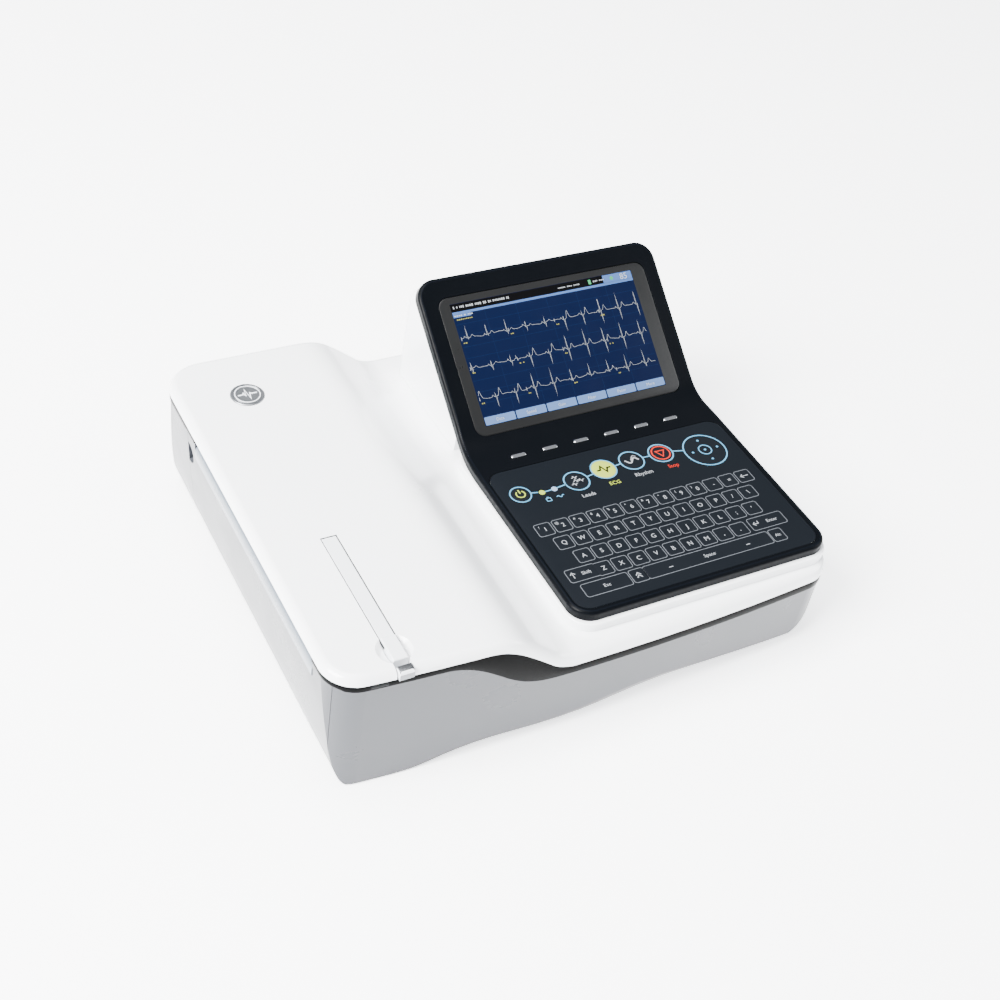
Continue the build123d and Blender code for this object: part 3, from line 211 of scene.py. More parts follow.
# ------------------------------------------------------------------ mesh helpers
class Build:
    """collects closed pieces of mesh, given in millimetres"""

    def __init__(self):
        self.v, self.f = [], []

    def add(self, verts, faces):
        n = len(self.v)
        self.v += [tuple(p) for p in verts]
        self.f += [tuple(i + n for i in f) for f in faces]

    def grid(self, loops, close_u=True, cap0=False, cap1=False):
        """loops of the same length, joined by quads"""
        n = len(self.v)
        k = len(loops[0])
        for lp in loops:
            self.v += [tuple(p) for p in lp]
        for j in range(len(loops) - 1):
            for i in range(k if close_u else k - 1):
                a, b = n + j * k + i, n + j * k + (i + 1) % k
                self.f.append((a, b, b + k, a + k))
        if cap0:
            self.f.append(tuple(n + i for i in reversed(range(k))))
        if cap1:
            m = n + (len(loops) - 1) * k
            self.f.append(tuple(m + i for i in range(k)))

    def object(self, name, mat, slot, body="base", replaces=(), angle=32, place=mm):
        me = bpy.data.meshes.new(name)
        me.from_pydata([place(*p) for p in self.v], [], self.f)
        me.validate()
        me.update()
        me.shade_smooth()
        me.set_sharp_from_angle(angle=radians(angle))
        ob = bpy.data.objects.new(name, me)
        SC.collection.objects.link(ob)
        me.materials.append(mat)
        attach(ob, body)
        if replaces:
            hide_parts(*replaces)
        return ob


def rrect(cx_, cy_, w, h, r, n=6):
    """a rounded rectangle, counter-clockwise"""
    out = []
    for qx, qy, a0 in ((1, -1, -90), (1, 1, 0), (-1, 1, 90), (-1, -1, 180)):
        for k in range(n + 1):
            a = radians(a0 + 90.0 * k / n)
            out.append((cx_ + qx * (w / 2 - r) + r * cos(a), cy_ + qy * (h / 2 - r) + r * sin(a)))
    return out


def circle(cx_, cy_, r, n=40, a0=0.0, a1=360.0):
    full = abs(a1 - a0 - 360) < 1e-6
    k = n if full else n + 1
    return [(cx_ + r * cos(radians(a0 + (a1 - a0) * i / n)), cy_ + r * sin(radians(a0 + (a1 - a0) * i / n))) for i in range(k)]


def plate(bd, loop, z0, z1, P=lambda x, y, z: (x, y, z)):
    bd.grid([[P(x, y, z0) for x, y in loop], [P(x, y, z1) for x, y in loop]], True, True, True)


def ring(bd, outer, inner, z0, z1, P=lambda x, y, z: (x, y, z)):
    """a closed ring between two loops of the same length"""
    n = len(bd.v)
    k = len(outer)
    for lp, z in ((outer, z0), (outer, z1), (inner, z1), (inner, z0)):
        bd.v += [P(x, y, z) for x, y in lp]
    for j in range(4):
        for i in range(k):
            a, b = n + j * k + i, n + j * k + (i + 1) % k
            c, d = n + ((j + 1) % 4) * k + (i + 1) % k, n + ((j + 1) % 4) * k + i
            bd.f.append((a, b, c, d))


def ribbon(bd, pts, w, z0, z1, P=lambda x, y, z: (x, y, z)):
    """a flat line of width w through the points"""
    L, R = [], []
    for i, p in enumerate(pts):
        a = pts[max(0, i - 1)]
        b = pts[min(len(pts) - 1, i + 1)]
        d1 = Vector((p[0] - a[0], p[1] - a[1]))
        d2 = Vector((b[0] - p[0], b[1] - p[1]))
        if d1.length < 1e-9:
            d1 = d2
        if d2.length < 1e-9:
            d2 = d1
        d1.normalize()
        d2.normalize()
        t = d1 + d2
        if t.length < 1e-6:
            t = d1.copy()
        t.normalize()
        nx, ny = -t.y, t.x
        k = min(2.2, 1.0 / max(0.3, abs(nx * -d1.y + ny * d1.x)))
        L.append((p[0] + nx * w / 2 * k, p[1] + ny * w / 2 * k))
        R.append((p[0] - nx * w / 2 * k, p[1] - ny * w / 2 * k))
    n = len(bd.v)
    k = len(pts)
    for lp, z in ((R, z0), (R, z1), (L, z1), (L, z0)):
        bd.v += [P(x, y, z) for x, y in lp]
    for j in range(4):
        for i in range(k - 1):
            a, b = n + j * k + i, n + j * k + i + 1
            c, d = n + ((j + 1) % 4) * k + i + 1, n + ((j + 1) % 4) * k + i
            bd.f.append((a, b, c, d))
    bd.f.append((n, n + k, n + 2 * k, n + 3 * k)[::-1])
    bd.f.append((n + k - 1, n + 2 * k - 1, n + 3 * k - 1, n + 4 * k - 1))


_glyphs = {}


def text(bd, s, x, y, size, z0, z1, P=lambda x, y, z: (x, y, z), align="CENTER"):
    """letters as closed pieces, centred on x, y"""
    key = (s, align)
    if key not in _glyphs:
        cu = bpy.data.curves.new("legend", "FONT")
        cu.body = s
        cu.size = 1.0
        cu.align_x = align
        cu.align_y = "CENTER"
        cu.resolution_u = 3
        cu.extrude = 0.5
        ob = bpy.data.objects.new("legend", cu)
        SC.collection.objects.link(ob)
        bpy.context.view_layer.update()
        me = bpy.data.meshes.new_from_object(ob.evaluated_get(bpy.context.evaluated_depsgraph_get()))
        _glyphs[key] = ([tuple(v.co) for v in me.vertices], [tuple(p.vertices) for p in me.polygons])
        bpy.data.objects.remove(ob)
        bpy.data.curves.remove(cu)
        bpy.data.meshes.remove(me)
    vs, fs = _glyphs[key]
    bd.add([P(x + v[0] * size, y + v[1] * size, z1 if v[2] > 0 else z0) for v in vs], fs)


# ------------------------------------------------------------------ places on the console
KEY_Z, TILT, BEND_R = 87.0, radians(37.1), 40.0
CON_XC, LENS_DX = 281.6, 1.7
LCD_Y, LCD_Z, LCD_W, LCD_H = 197.5, 94.7, 157.0, 94.0
LENS_W, LENS_S0, LENS_S1, PANEL_S1 = 178.0, -7.0, 99.3, 115.5
CON_X0, CON_X1, DSP_X0, DSP_X1, CON_Y0 = 177.8, 386.4, 180.9, 385.0, 12.0
YC = LCD_Y - (LCD_Z - KEY_Z) / tan(TILT)
TL = BEND_R * tan(TILT / 2)
Q_A = YC - TL
Q_B = Q_A + BEND_R * TILT
S_B = (Q_A + BEND_R * sin(TILT) - LCD_Y) / cos(TILT)
Q_END = Q_B + PANEL_S1 - S_B


def con(x, q, h):
    """a point of the console: q along its bent surface from the front edge of the machine, h square to it"""
    if q <= Q_A:
        return (x, q, KEY_Z + h)
    if q <= Q_B:
        a = (q - Q_A) / BEND_R
        r = BEND_R - h
        return (x, Q_A + r * sin(a), KEY_Z + BEND_R - r * cos(a))
    s = S_B + q - Q_B
    return (x, LCD_Y + s * cos(TILT) - h * sin(TILT), LCD_Z + s * sin(TILT) + h * cos(TILT))


def dsp(x, s, h):
    """a point of the display plane, x from the picture's centre, s up from its lower edge"""
    return (CON_XC + x, LCD_Y + s * cos(TILT) - h * sin(TILT), LCD_Z + s * sin(TILT) + h * cos(TILT))


def key(x, y, h):
    return (x, y, KEY_Z + h)


# ------------------------------------------------------------------ keypad: pads, outlines and legends
pads, lines, legends = Build(), Build(), Build()
OV = -0.1                     # the overlay's upper face, from the keyboard plane


def keycap(x, y, w, h=12.4, label="", size=5.4, r=2.0, slant=0.0, dx=0.0, small=""):
    def S(px, py, pz):
        return (px + (py - y) * slant, py, KEY_Z + pz)
    o = rrect(x, y, w, h, r)
    i1 = rrect(x, y, w - 0.9, h - 0.9, r - 0.4)
    ring(lines, [S(a, b, 0)[:2] for a, b in o], [S(a, b, 0)[:2] for a, b in rrect(x, y, w - 0.95, h - 0.95, r - 0.42)], OV, OV + 0.07, key)
    pads.grid([[key(*S(a, b, 0)[:2], OV) for a, b in i1],
               [key(*S(a, b, 0)[:2], OV + 0.05) for a, b in i1],
               [key(*S(a, b, 0)[:2], OV + 0.22) for a, b in rrect(x, y, w - 1.9, h - 1.9, max(0.4, r - 0.8))],
               [key(*S(a, b, 0)[:2], OV + 0.24) for a, b in rrect(x, y, w - 2.8, h - 2.8, max(0.3, r - 1.1))]], True, True, True)
    if label:
        text(legends, label, x + dx, y - 0.3, size, OV + 0.2, OV + 0.28, key)
    if small:
        text(legends, small, x - w * 0.24, y + 2.6, size * 0.55, OV + 0.2, OV + 0.28, key)


PITCH = 14.05
top_small = ["!", "@", "#", "$", "%", "^", "&", "*", "(", ")", "", "", ""]
for i, ch in enumerate("1234567890-="):
    keycap(196.6 + i * PITCH, 93.7, 12.8, label=ch, small=top_small[i], dx=0.8)
keycap(196.6 + 12 * PITCH, 93.7, 12.8)
ribbon(legends, [(196.6 + 12 * PITCH + 3.4, 93.7), (196.6 + 12 * PITCH - 3.2, 93.7)], 0.6, OV + 0.2, OV + 0.28, key)
ribbon(legends, [(196.6 + 12 * PITCH - 1.0, 95.4), (196.6 + 12 * PITCH - 3.2, 93.7), (196.6 + 12 * PITCH - 1.0, 92.0)], 0.6, OV + 0.2, OV + 0.28, key)
for i, ch in enumerate("QWERTYUIOP/\\"):
    keycap(203.5 + i * PITCH, 78.0, 12.8, label=ch)
for i, ch in enumerate("ASDFGHJKL;'"):
    keycap(210.3 + i * PITCH, 62.3, 12.8, label=ch)
for i, ch in enumerate("ZXCVBNM,."):
    keycap(217.1 + i * PITCH, 46.9, 12.8, label=ch)
keycap(200.6, 47.6, 23.4, label="Shift", size=4.2, dx=3.0)
ribbon(legends, [(193.4, 44.8), (193.4, 50.0)], 0.6, OV + 0.2, OV + 0.28, key)
ribbon(legends, [(191.6, 48.2), (193.4, 50.2), (195.2, 48.2)], 0.6, OV + 0.2, OV + 0.28, key)
keycap(353.6, 47.3, 29.8, label="Enter", size=4.2, dx=3.8)
ribbon(legends, [(346.0, 49.6), (346.0, 47.2), (341.6, 47.2)], 0.6, OV + 0.2, OV + 0.28, key)
ribbon(legends, [(343.4, 48.9), (341.6, 47.2), (343.4, 45.5)], 0.6, OV + 0.2, OV + 0.28, key)
keycap(211.2, 32.4, 36.7, label="Esc", size=4.2)
keycap(236.4, 32.6, 12.0)
for k in (0, 2.3):
    ribbon(legends, [(234.4, 30.4 + k), (236.4, 32.6 + k), (238.4, 30.4 + k)], 0.7, OV + 0.2, OV + 0.28, key)
keycap(294.2, 32.6, 104.7, label="Space", size=4.2)
for xs in (262.0, 326.4):
    ribbon(legends, [(xs - 1.6, 31.6), (xs + 1.6, 31.6)], 0.6, OV + 0.2, OV + 0.28, key)
keycap(352.6, 32.5, 11.2, label="Alt", size=3.9)
pads.object("key_pads", pad_mat, "overlay")
lines.object("key_outlines", ink_dim, "overlay")
legends.object("key_legends", ink_light, "overlay", angle=60)

# round function keys joined by a line
blue, lime, red, black, white, pale, dome = Build(), Build(), Build(), Build(), Build(), Build(), Build()
H0, H1 = OV, OV + 0.08


def round_key(x, y, r, w=1.1, domed=True, col=None):
    ring(blue if col is None else col, circle(x, y, r, 56), circle(x, y, r - w, 56), H0, H1, key)
    if domed:
        rr = r - w - 0.15
        dome.grid([[key(a, b, OV) for a, b in circle(x, y, rr, 48)],
                   [key(a, b, OV + 0.10) for a, b in circle(x, y, rr, 48)],
                   [key(a, b, OV + 0.30) for a, b in circle(x, y, rr * 0.88, 48)],
                   [key(a, b, OV + 0.36) for a, b in circle(x, y, rr * 0.62, 48)]], True, True, True)


DH0, DH1 = OV + 0.30, OV + 0.50
PW = (197.6, 130.9)
round_key(PW[0], PW[1], 8.2, 1.0)
arc = circle(PW[0], PW[1], 3.3, 20, 125, 415)
ribbon(lime, arc, 0.9, DH0, DH1, key)
ribbon(lime, [(PW[0], PW[1] + 0.6), (PW[0], PW[1] + 4.6)], 0.9, DH0, DH1, key)
ribbon(blue, [(205.8, 129.9), (210.6, 128.9)], 1.0, H0, H1, key)
plate(lime, circle(213.3, 127.8, 2.3, 28), H0, H1 + 0.05, key)
ribbon(blue, [(215.7, 127.9), (221.0, 128.1)], 1.0, H0, H1, key)
plate(pale, circle(223.5, 128.2, 2.3, 28), H0, H1 + 0.05, key)
ribbon(blue, [(225.9, 128.7), (233.9, 129.6)], 1.0, H0, H1, key)
LD = (243.1, 130.3)
round_key(LD[0], LD[1], 10.0)


def spike(bd, x, y, k, w=0.7, z0=None, z1=None):
    p = [(-4.9, -0.5), (-2.7, -0.5), (-1.2, 2.7), (1.1, -2.9), (2.5, 0.4), (4.9, 0.4)]
    ribbon(bd, [(x + a * k, y + b * k) for a, b in p], w, DH0 if z0 is None else z0, DH1 if z1 is None else z1, key)


for ax, ay in ((-3.1, -2.9), (-0.2, 3.6), (3.4, -0.4), (-0.4, 0.2)):
    spike(white, LD[0] + ax, LD[1] + ay, 0.5, 0.55)
EC = (268.4, 134.9)
round_key(EC[0], EC[1], 10.2, 1.0, domed=False)
lime.grid([[key(a, b, OV) for a, b in circle(EC[0], EC[1], 9.1, 48)], [key(a, b, OV + 0.10) for a, b in circle(EC[0], EC[1], 9.1, 48)],
           [key(a, b, OV + 0.30) for a, b in circle(EC[0], EC[1], 8.0, 48)], [key(a, b, OV + 0.36) for a, b in circle(EC[0], EC[1], 5.6, 48)]], True, True, True)
spike(black, EC[0], EC[1], 1.2, 1.25, OV + 0.3, OV + 0.5)
ribbon(blue, [(253.1, 131.9), (258.6, 132.9)], 1.0, H0, H1, key)
RH = (293.3, 136.4)
round_key(RH[0], RH[1], 10.0)
wv = [(RH[0] - 5.6 + i * 0.56, RH[1] - 0.4 + 2.2 * sin(i * 0.36 + 2.5)) for i in range(21)]
ribbon(white, wv, 1.2, DH0, DH1, key)
ribbon(white, [(a + 0.3, b + 2.2) for a, b in wv[8:19]], 0.6, DH0, DH1, key)
ribbon(blue, [(278.6, 135.4), (283.3, 135.9)], 1.0, H0, H1, key)
ST = (318.7, 136.4)
round_key(ST[0], ST[1], 10.0)
ring(red, circle(ST[0], ST[1], 7.6, 44), circle(ST[0], ST[1], 6.5, 44), OV + 0.2, OV + 0.42, key)
tri = [(ST[0] - 4.3, ST[1] + 2.8), (ST[0] - 0.1, ST[1] - 4.8), (ST[0] + 4.4, ST[1] + 2.6)]
ring(red, tri, [(ST[0] + (a - ST[0]) * 0.66, ST[1] + (b - ST[1]) * 0.66) for a, b in tri], DH0, DH1, key)
ribbon(blue, [(303.3, 136.4), (308.7, 136.4)], 1.0, H0, H1, key)
NV = (353.2, 128.4)
round_key(NV[0], NV[1], 17.2, 1.1)
ribbon(blue, [(328.7, 135.3), (337.0, 133.2)], 1.0, H0, H1, key)
ring(blue, circle(NV[0], NV[1], 5.4, 40), circle(NV[0], NV[1], 4.5, 40), DH0, DH1, key)
for ax, ay in ((0, 0), (0, 10.6), (0, -10.6), (10.8, 0), (-10.8, 0)):
    plate(blue, circle(NV[0] + ax, NV[1] + ay, 0.95, 20), DH0 - 0.1, DH1, key)
text(white, "Leads", 244.5, 114.6, 4.9, H0, H1, key)
text(lime, "ECG", 269.3, 119.4, 4.9, H0, H1, key)
text(white, "Rhythm", 295.0, 121.2, 4.9, H0, H1, key)
text(red, "Stop", 320.6, 121.2, 4.9, H0, H1, key)
# small pictograms under the two lamps
ring(blue, rrect(214.6, 119.6, 4.0, 3.6, 0.4, 3), rrect(214.6, 119.6, 2.8, 2.4, 0.2, 3), H0, H1, key)
plate(blue, rrect(214.6, 122.0, 1.6, 0.8, 0.2, 3), H0, H1, key)
ribbon(blue, [(221.4 + i * 0.45, 120.2 + 0.9 * sin(i * 0.7)) for i in range(14)], 0.7, H0, H1, key)
dome.object("round_key_domes", pad_mat, "overlay")
# the blue, lime and red marks carry the painted glow of their inks
blue.object("key_rings_blue", ink_blue_painted_glow, "overlay", angle=60)
lime.object("key_marks_lime", ink_lime_lamp_and_painted_glow, "overlay", angle=60)
red.object("key_marks_red", ink_red_painted_glow, "overlay", angle=60)
black.object("key_marks_black", ink_black, "overlay", angle=60)
white.object("key_marks_white", ink_light, "overlay", angle=60)
pale.object("key_lamp_pale", ink_pale, "overlay", angle=60)

# ------------------------------------------------------------------ display
lens = Build()
lw, ls = LENS_W, LENS_S1 - LENS_S0
lc = (LENS_DX, (LENS_S0 + LENS_S1) / 2)
lens.grid([[dsp(a, b, h) for a, b in rrect(lc[0], lc[1], lw - 2 * k, ls - 2 * k, 8 - k, 10)]
           for h, k in ((-1.8, 0.0), (-0.75, 0.0), (-0.45, 0.12), (-0.3, 0.4), (-0.25, 0.8))], True, True, True)
lens.object("display_window", M["lens"], "lens", replaces=("display_lens",))
PH = -0.25
pic, head, bluebar, tabs, grid_, trace, ptext, yell, green = (Build() for _ in range(9))
plate(pic, rrect(0, LCD_H / 2, LCD_W, LCD_H, 0.6, 3), PH, PH + 0.02, dsp)
X0, X1 = -LCD_W / 2, LCD_W / 2
plate(head, rrect((X0 + X1) / 2 - 13, 90.7, LCD_W - 26, 6.2, 0.3, 3), PH + 0.02, PH + 0.04, dsp)
plate(bluebar, rrect(0, 86.7, LCD_W - 0.6, 1.9, 0.3, 3), PH + 0.02, PH + 0.04, dsp)
plate(bluebar, rrect(X1 - 13.5, 90.5, 26.4, 6.4, 0.5, 3), PH + 0.02, PH + 0.04, dsp)
plate(bluebar, rrect(X0 + 7.6, 84.6, 14.6, 2.6, 0.3, 3), PH + 0.02, PH + 0.04, dsp)
text(ptext, "85", X1 - 7.6, 90.2, 6.8, PH + 0.04, PH + 0.07, dsp)
plate(green, circle(X1 - 18.4, 90.6, 1.5, 20), PH + 0.04, PH + 0.06, dsp)
plate(green, rrect(X1 - 38.0, 90.7, 2.2, 3.6, 0.3, 3), PH + 0.04, PH + 0.06, dsp)


def greek(bd, x, s, n, seed, h=1.5):
    """unreadable marks in place of a line of text"""
    rng = np.random.RandomState(seed)
    for _ in range(n):
        w = 0.7 + 0.7 * rng.rand()
        plate(bd, rrect(x + w / 2, s, w, h * (0.7 + 0.3 * rng.rand()), 0.15, 2), PH + 0.04, PH + 0.06, dsp)
        x += w + 0.45 + (1.2 if rng.rand() < 0.2 else 0)


greek(ptext, X0 + 2.0, 91.0, 26, 1, 1.9)
greek(ptext, X1 - 66.0, 90.6, 12, 2, 1.1)
greek(ptext, X1 - 35.0, 90.6, 6, 3, 1.3)
greek(ptext, X0 + 1.2, 84.6, 8, 4, 1.0)
greek(yell, X0 + 2.4, 81.6, 9, 5, 1.0)
for i in range(1, 6):
    xx = X0 + i * LCD_W / 6
    ribbon(grid_, [(xx, 8.4), (xx, 85.0)], 0.16, PH + 0.02, PH + 0.035, dsp)
for i in range(1, 9):
    ss = 8.4 + i * 8.7
    ribbon(grid_, [(X0 + 1, ss), (X1 - 1, ss)], 0.16, PH + 0.02, PH + 0.035, dsp)
for i in range(6):
    tx = X0 + (i + 0.5) * LCD_W / 6
    plate(tabs, rrect(tx, 3.6, LCD_W / 6 - 1.0, 6.2, 0.8, 4), PH + 0.02, PH + 0.05, dsp)
labels = ["Data", "Speed", "Gain", "Filter", "Pacer", "More"]
for i, s in enumerate(labels):
    text(ptext, s, X0 + (i + 0.5) * LCD_W / 6, 3.4, 3.4, PH + 0.05, PH + 0.07, dsp)


def beat(t, q, rr, s, tw):
    """one heartbeat as a height for t from 0 to 1"""
    g = lambda c, w, a: a * math.exp(-((t - c) / w) ** 2)
    return g(0.18, 0.035, 0.10) + g(0.285, 0.010, -q) + g(0.315, 0.012, rr) + g(0.345, 0.013, -s) + g(0.56, 0.065, tw)


shapes = [(0.05, 0.75, 0.12, 0.16), (0.1, 0.35, 0.35, 0.1), (0.05, 0.25, 0.75, 0.45), (0.08, 1.0, 0.85, 0.3), (0.1, 0.9, 0.3, 0.25)]
for row, s0 in enumerate((67.0, 44.0, 20.5)):
    pts = []
    nb = 9.4
    for i in range(720):
        u = i / 719.0
        b = u * nb + 0.25 * row
        seg = int(min(3, u * 4))
        q, rr, s, tw = shapes[(seg + (0, 1, 2)[row]) % 4 if seg < 3 else 3 + (row == 2)]
        hgt = beat(b % 1.0, q, rr, s, tw) + 0.03 * sin(u * 41 + row) + 0.02 * sin(u * 97)
        pts.append((X0 + 1.5 + u * (LCD_W - 4.0), s0 + hgt * 12.5))
    thin = [pts[0]]
    for i in range(1, len(pts) - 1):
        a, b_, c = thin[-1], pts[i], pts[i + 1]
        cr = abs((b_[0] - a[0]) * (c[1] - a[1]) - (b_[1] - a[1]) * (c[0] - a[0]))
        if cr > 0.012 or i % 6 == 0:
            thin.append(b_)
    thin.append(pts[-1])
    ribbon(trace, thin, 0.22, PH + 0.035, PH + 0.06, dsp)
    for j in range(4):
        ribbon(trace, [(X0 + 1.5 + j * LCD_W / 4, s0 - 1.4), (X0 + 1.5 + j * LCD_W / 4, s0 + 1.4)], 0.3, PH + 0.035, PH + 0.06, dsp)
        greek(yell, X0 + 2.2 + j * LCD_W / 4, s0 - 3.4, 2, 10 + row * 4 + j, 1.1)
pic.object("display_picture", glass_mat, "lcd")
head.object("picture_header", pic_head, "lcd")
bluebar.object("picture_bars", pic_blue, "lcd")
tabs.object("picture_tabs", pic_tab, "lcd")
grid_.object("picture_grid", pic_grid, "lcd")
trace.object("picture_traces", pic_trace, "lcd", angle=60)
ptext.object("picture_marks", pic_text, "lcd", angle=60)
yell.object("picture_yellow_marks", pic_yellow, "lcd", angle=60)
green.object("picture_green_marks", pic_green, "lcd", angle=60)


# ------------------------------------------------------------------ console rim: groove, and a ridge round the overlay coloured a little lighter as a painted highlight
def con_outline(inset, n=10):
    """the console's outline in x and q, counter-clockwise from the front left corner, moved inwards"""
    r0, r1 = 16.0 - inset, 15.0 - inset
    x0, x1, q0, q1 = CON_X0 + inset, CON_X1 - inset, CON_Y0 + inset, Q_END - inset
    y0, y1 = DSP_X0 + inset, DSP_X1 - inset

    def ease(a, b, t):
        t = min(1.0, max(0.0, t))
        return a + (b - a) * t * t * (3 - 2 * t)
    out = []
    for k in range(n + 1):
        a = radians(180 + 90.0 * k / n)
        out.append((x0 + r0 + r0 * cos(a), q0 + r0 + r0 * sin(a)))
    for k in range(n + 1):
        a = radians(270 + 90.0 * k / n)
        out.append((x1 - r0 + r0 * cos(a), q0 + r0 + r0 * sin(a)))
    rows = 44
    for k in range(1, rows):
        q = q0 + r0 + (q1 - r1 - q0 - r0) * k / rows
        out.append((ease(x1, y1, (q - 155) / 60), q))
    for k in range(n + 1):
        a = radians(90.0 * k / n)
        out.append((y1 - r1 + r1 * cos(a), q1 - r1 + r1 * sin(a)))
    for k in range(n + 1):
        a = radians(90 + 90.0 * k / n)
        out.append((y0 + r1 + r1 * cos(a), q1 - r1 + r1 * sin(a)))
    for k in range(1, rows):
        q = q1 - r1 - (q1 - r1 - q0 - r0) * k / rows
        out.append((ease(x0, y0, (q - 155) / 60), q))
    return out


def sweep(name, profile, mat, slot):
    """a strip around the console: profile of (inset, height)"""
    bd = Build()
    loops = [[con(x, q, h) for x, q in con_outline(i)] for i, h in profile]
    bd.grid(loops + [loops[0]])
    # the last loop repeats the first, so they are joined
    n = len(loops[0])
    m = len(loops) * n
    bd.f = [tuple(i - m if i >= m else i for i in f) for f in bd.f]
    bd.v = bd.v[:m]
    return bd.object(name, mat, slot, angle=40)


# the ridge's lighter colour is a painted highlight of the rim's top
sweep("console_rim_painted_highlight", [(1.9, -0.6), (1.75, -0.12), (1.95, 0.02), (2.35, 0.10), (2.55, 0.04), (2.6, -0.6)], rim_painted_highlight, "panel_black")
ovl = Build()
oc = ((182.3 + 380.7) / 2, (17.0 + 156.8) / 2)
ow, oh = 380.7 - 182.3, 156.8 - 17.0
ovl.grid([[key(a, b, h) for a, b in rrect(oc[0], oc[1], ow - 2 * k, oh - 2 * k, 11 - k, 10)] for h, k in ((-0.6, 0.0), (-0.2, 0.0), (-0.12, 0.08), (-0.1, 0.25))], True, True, True)
ovl.object("keypad_sheet", M["overlay"], "overlay", replaces=("keypad_overlay",))

# ------------------------------------------------------------------ badge emblem
bx_, by_ = 49.0, 275.0
em = Build()
BT = 103.5


def badge_p(x, y, h):
    return (x, y, BT + h)


ring(em, circle(bx_, by_, 9.4, 60), circle(bx_, by_, 8.7, 60), 0.55, 1.0, badge_p)
p = [(-7.0, 0.0), (-3.6, 0.0), (-2.6, 1.6), (-1.6, -1.2), (-0.6, 5.4), (0.9, -5.0), (2.0, 1.0), (3.2, 0.0), (7.0, 0.0)]
ribbon(em, [(bx_ + a, by_ + b) for a, b in p], 1.0, 0.55, 1.0, badge_p)
em.object("badge_emblem", emblem_mat, "badge", angle=50)

# ------------------------------------------------------------------ black band under the top's lip
TOPC = [(104, 103.5), (116, 102.6), (126, 99.2), (134, 94.0), (143, 87.2), (151.5, 80.3), (159, 75.2), (167, 72.9), (176, 72.6)]
LIPC = [(100, 97.0), (112.5, 95.8), (124, 91.0), (132, 85.8), (140.5, 79.4), (149, 72.6), (157.6, 66.6), (166, 63.8), (176, 63.4)]
BANDC = [(74, 92.6), (86, 90.6), (96.5, 86.2), (104, 81.6), (112, 75.9), (120, 69.8), (128, 64.7), (136, 61.0), (148, 57.9), (165, 57.0), (184, 56.8)]


def along(pts, x):
    """height of a smooth line through the points, level beyond its ends"""
    if x <= pts[0][0]:
        return pts[0][1]
    if x >= pts[-1][0]:
        return pts[-1][1]
    n = len(pts)
    for i in range(n - 1):
        (xa, za), (xb, zb) = pts[i], pts[i + 1]
        if xa <= x <= xb:
            h = xb - xa
            ma = 0.0 if i == 0 else (zb - pts[i - 1][1]) / (xb - pts[i - 1][0])
            mb = 0.0 if i == n - 2 else (pts[i + 2][1] - za) / (pts[i + 2][0] - xa)
            t = (x - xa) / h
            return za * (2 * t ** 3 - 3 * t * t + 1) + h * ma * (t ** 3 - 2 * t * t + t) + zb * (3 * t * t - 2 * t ** 3) + h * mb * (t ** 3 - t * t)
    return pts[-1][1]


def plan_path(y_from, y_to):
    """the machine's outline from the left side round the front, the right and the back: x, y and the outward direction"""
    out = []
    y = y_from
    while y > 26.4:
        out.append((0.0, y, -1.0, 0.0))
        y -= 2.0
    a0 = math.degrees(atan2(-0.99643, -0.08444)) % 360
    for k in range(19):
        a = radians(180 + (a0 - 180) * k / 18)
        out.append((24 + 24 * cos(a), 25.43 + 24 * sin(a), cos(a), sin(a)))
    for k in range(1, 120):
        a = radians(a0 + (540 - 2 * a0) * k / 120)
        out.append((195 + 2049 * cos(a), 2043.2 + 2049 * sin(a), cos(a), sin(a)))
    for k in range(19):
        a = radians(540 - a0 + (a0 - 180) * k / 18)
        out.append((366 + 24 * cos(a), 25.43 + 24 * sin(a), cos(a), sin(a)))
    for k in range(1, 12):
        out.append((390.0, 25.43 + (296.2 - 25.43) * k / 12, 1.0, 0.0))
    for k in range(19):
        a = radians(90.0 * k / 18)
        out.append((362 + 28 * cos(a), 296.2 + 28 * sin(a), cos(a), sin(a)))
    for k in range(1, 120):
        out.append((362 - 334.0 * k / 120, 324.2, 0.0, 1.0))
    for k in range(19):
        a = radians(90 + 90.0 * k / 18)
        out.append((28 + 28 * cos(a), 296.2 + 28 * sin(a), cos(a), sin(a)))
    y = 294.0
    while y > y_to:
        out.append((0.0, y, -1.0, 0.0))
        y -= 3.0
    out.append((0.0, y_to, -1.0, 0.0))
    return out


bd = Build()
loops = []
for x, y, nx, ny in plan_path(35.0, 249.2):
    lo_z, hi_z = along(BANDC, x), along(LIPC, x) - 0.06
    # where the drawer's front is under the band, the band stays above it
    drop = 0.85 if x > 9 or y > 268 else 0.85 * min(1.0, max(0.0, (9.5 - y) / 5.0)) - 0.08
    if x <= 9 and y > 200:
        drop = 0.85 * min(1.0, max(0.0, (y - 264.5) / 4.0)) - 0.08
    zb = lo_z - drop
    sec = [(2.3, zb + 0.02), (0.5, zb), (0.26, zb + 0.12), (0.16, zb + 0.45), (0.16, hi_z - 0.4), (0.24, hi_z - 0.1), (0.45, hi_z), (2.3, hi_z)]
    loops.append([(x - nx * i, y - ny * i, z) for i, z in sec])
bd.grid(loops, True, True, True)
bd.object("trim_band_strip", M["band_black"], "band_black", replaces=("trim_band",), angle=40)
wn = Build()
loops = []
for x, y, nx, ny in plan_path(35.0, 249.2):
    if 22.0 < x < 36.5 and y < 20:
        loops.append([(x - nx * i, y - ny * i, z) for i, z in [(1.2, 93.1), (0.16, 93.1), (0.06, 93.3), (0.06, 95.9), (0.16, 96.1), (1.2, 96.1)]])
wn.grid(loops, True, True, True)
wn.object("band_window_glass", M["window_grey"], "window_grey", replaces=("band_window",), angle=40)
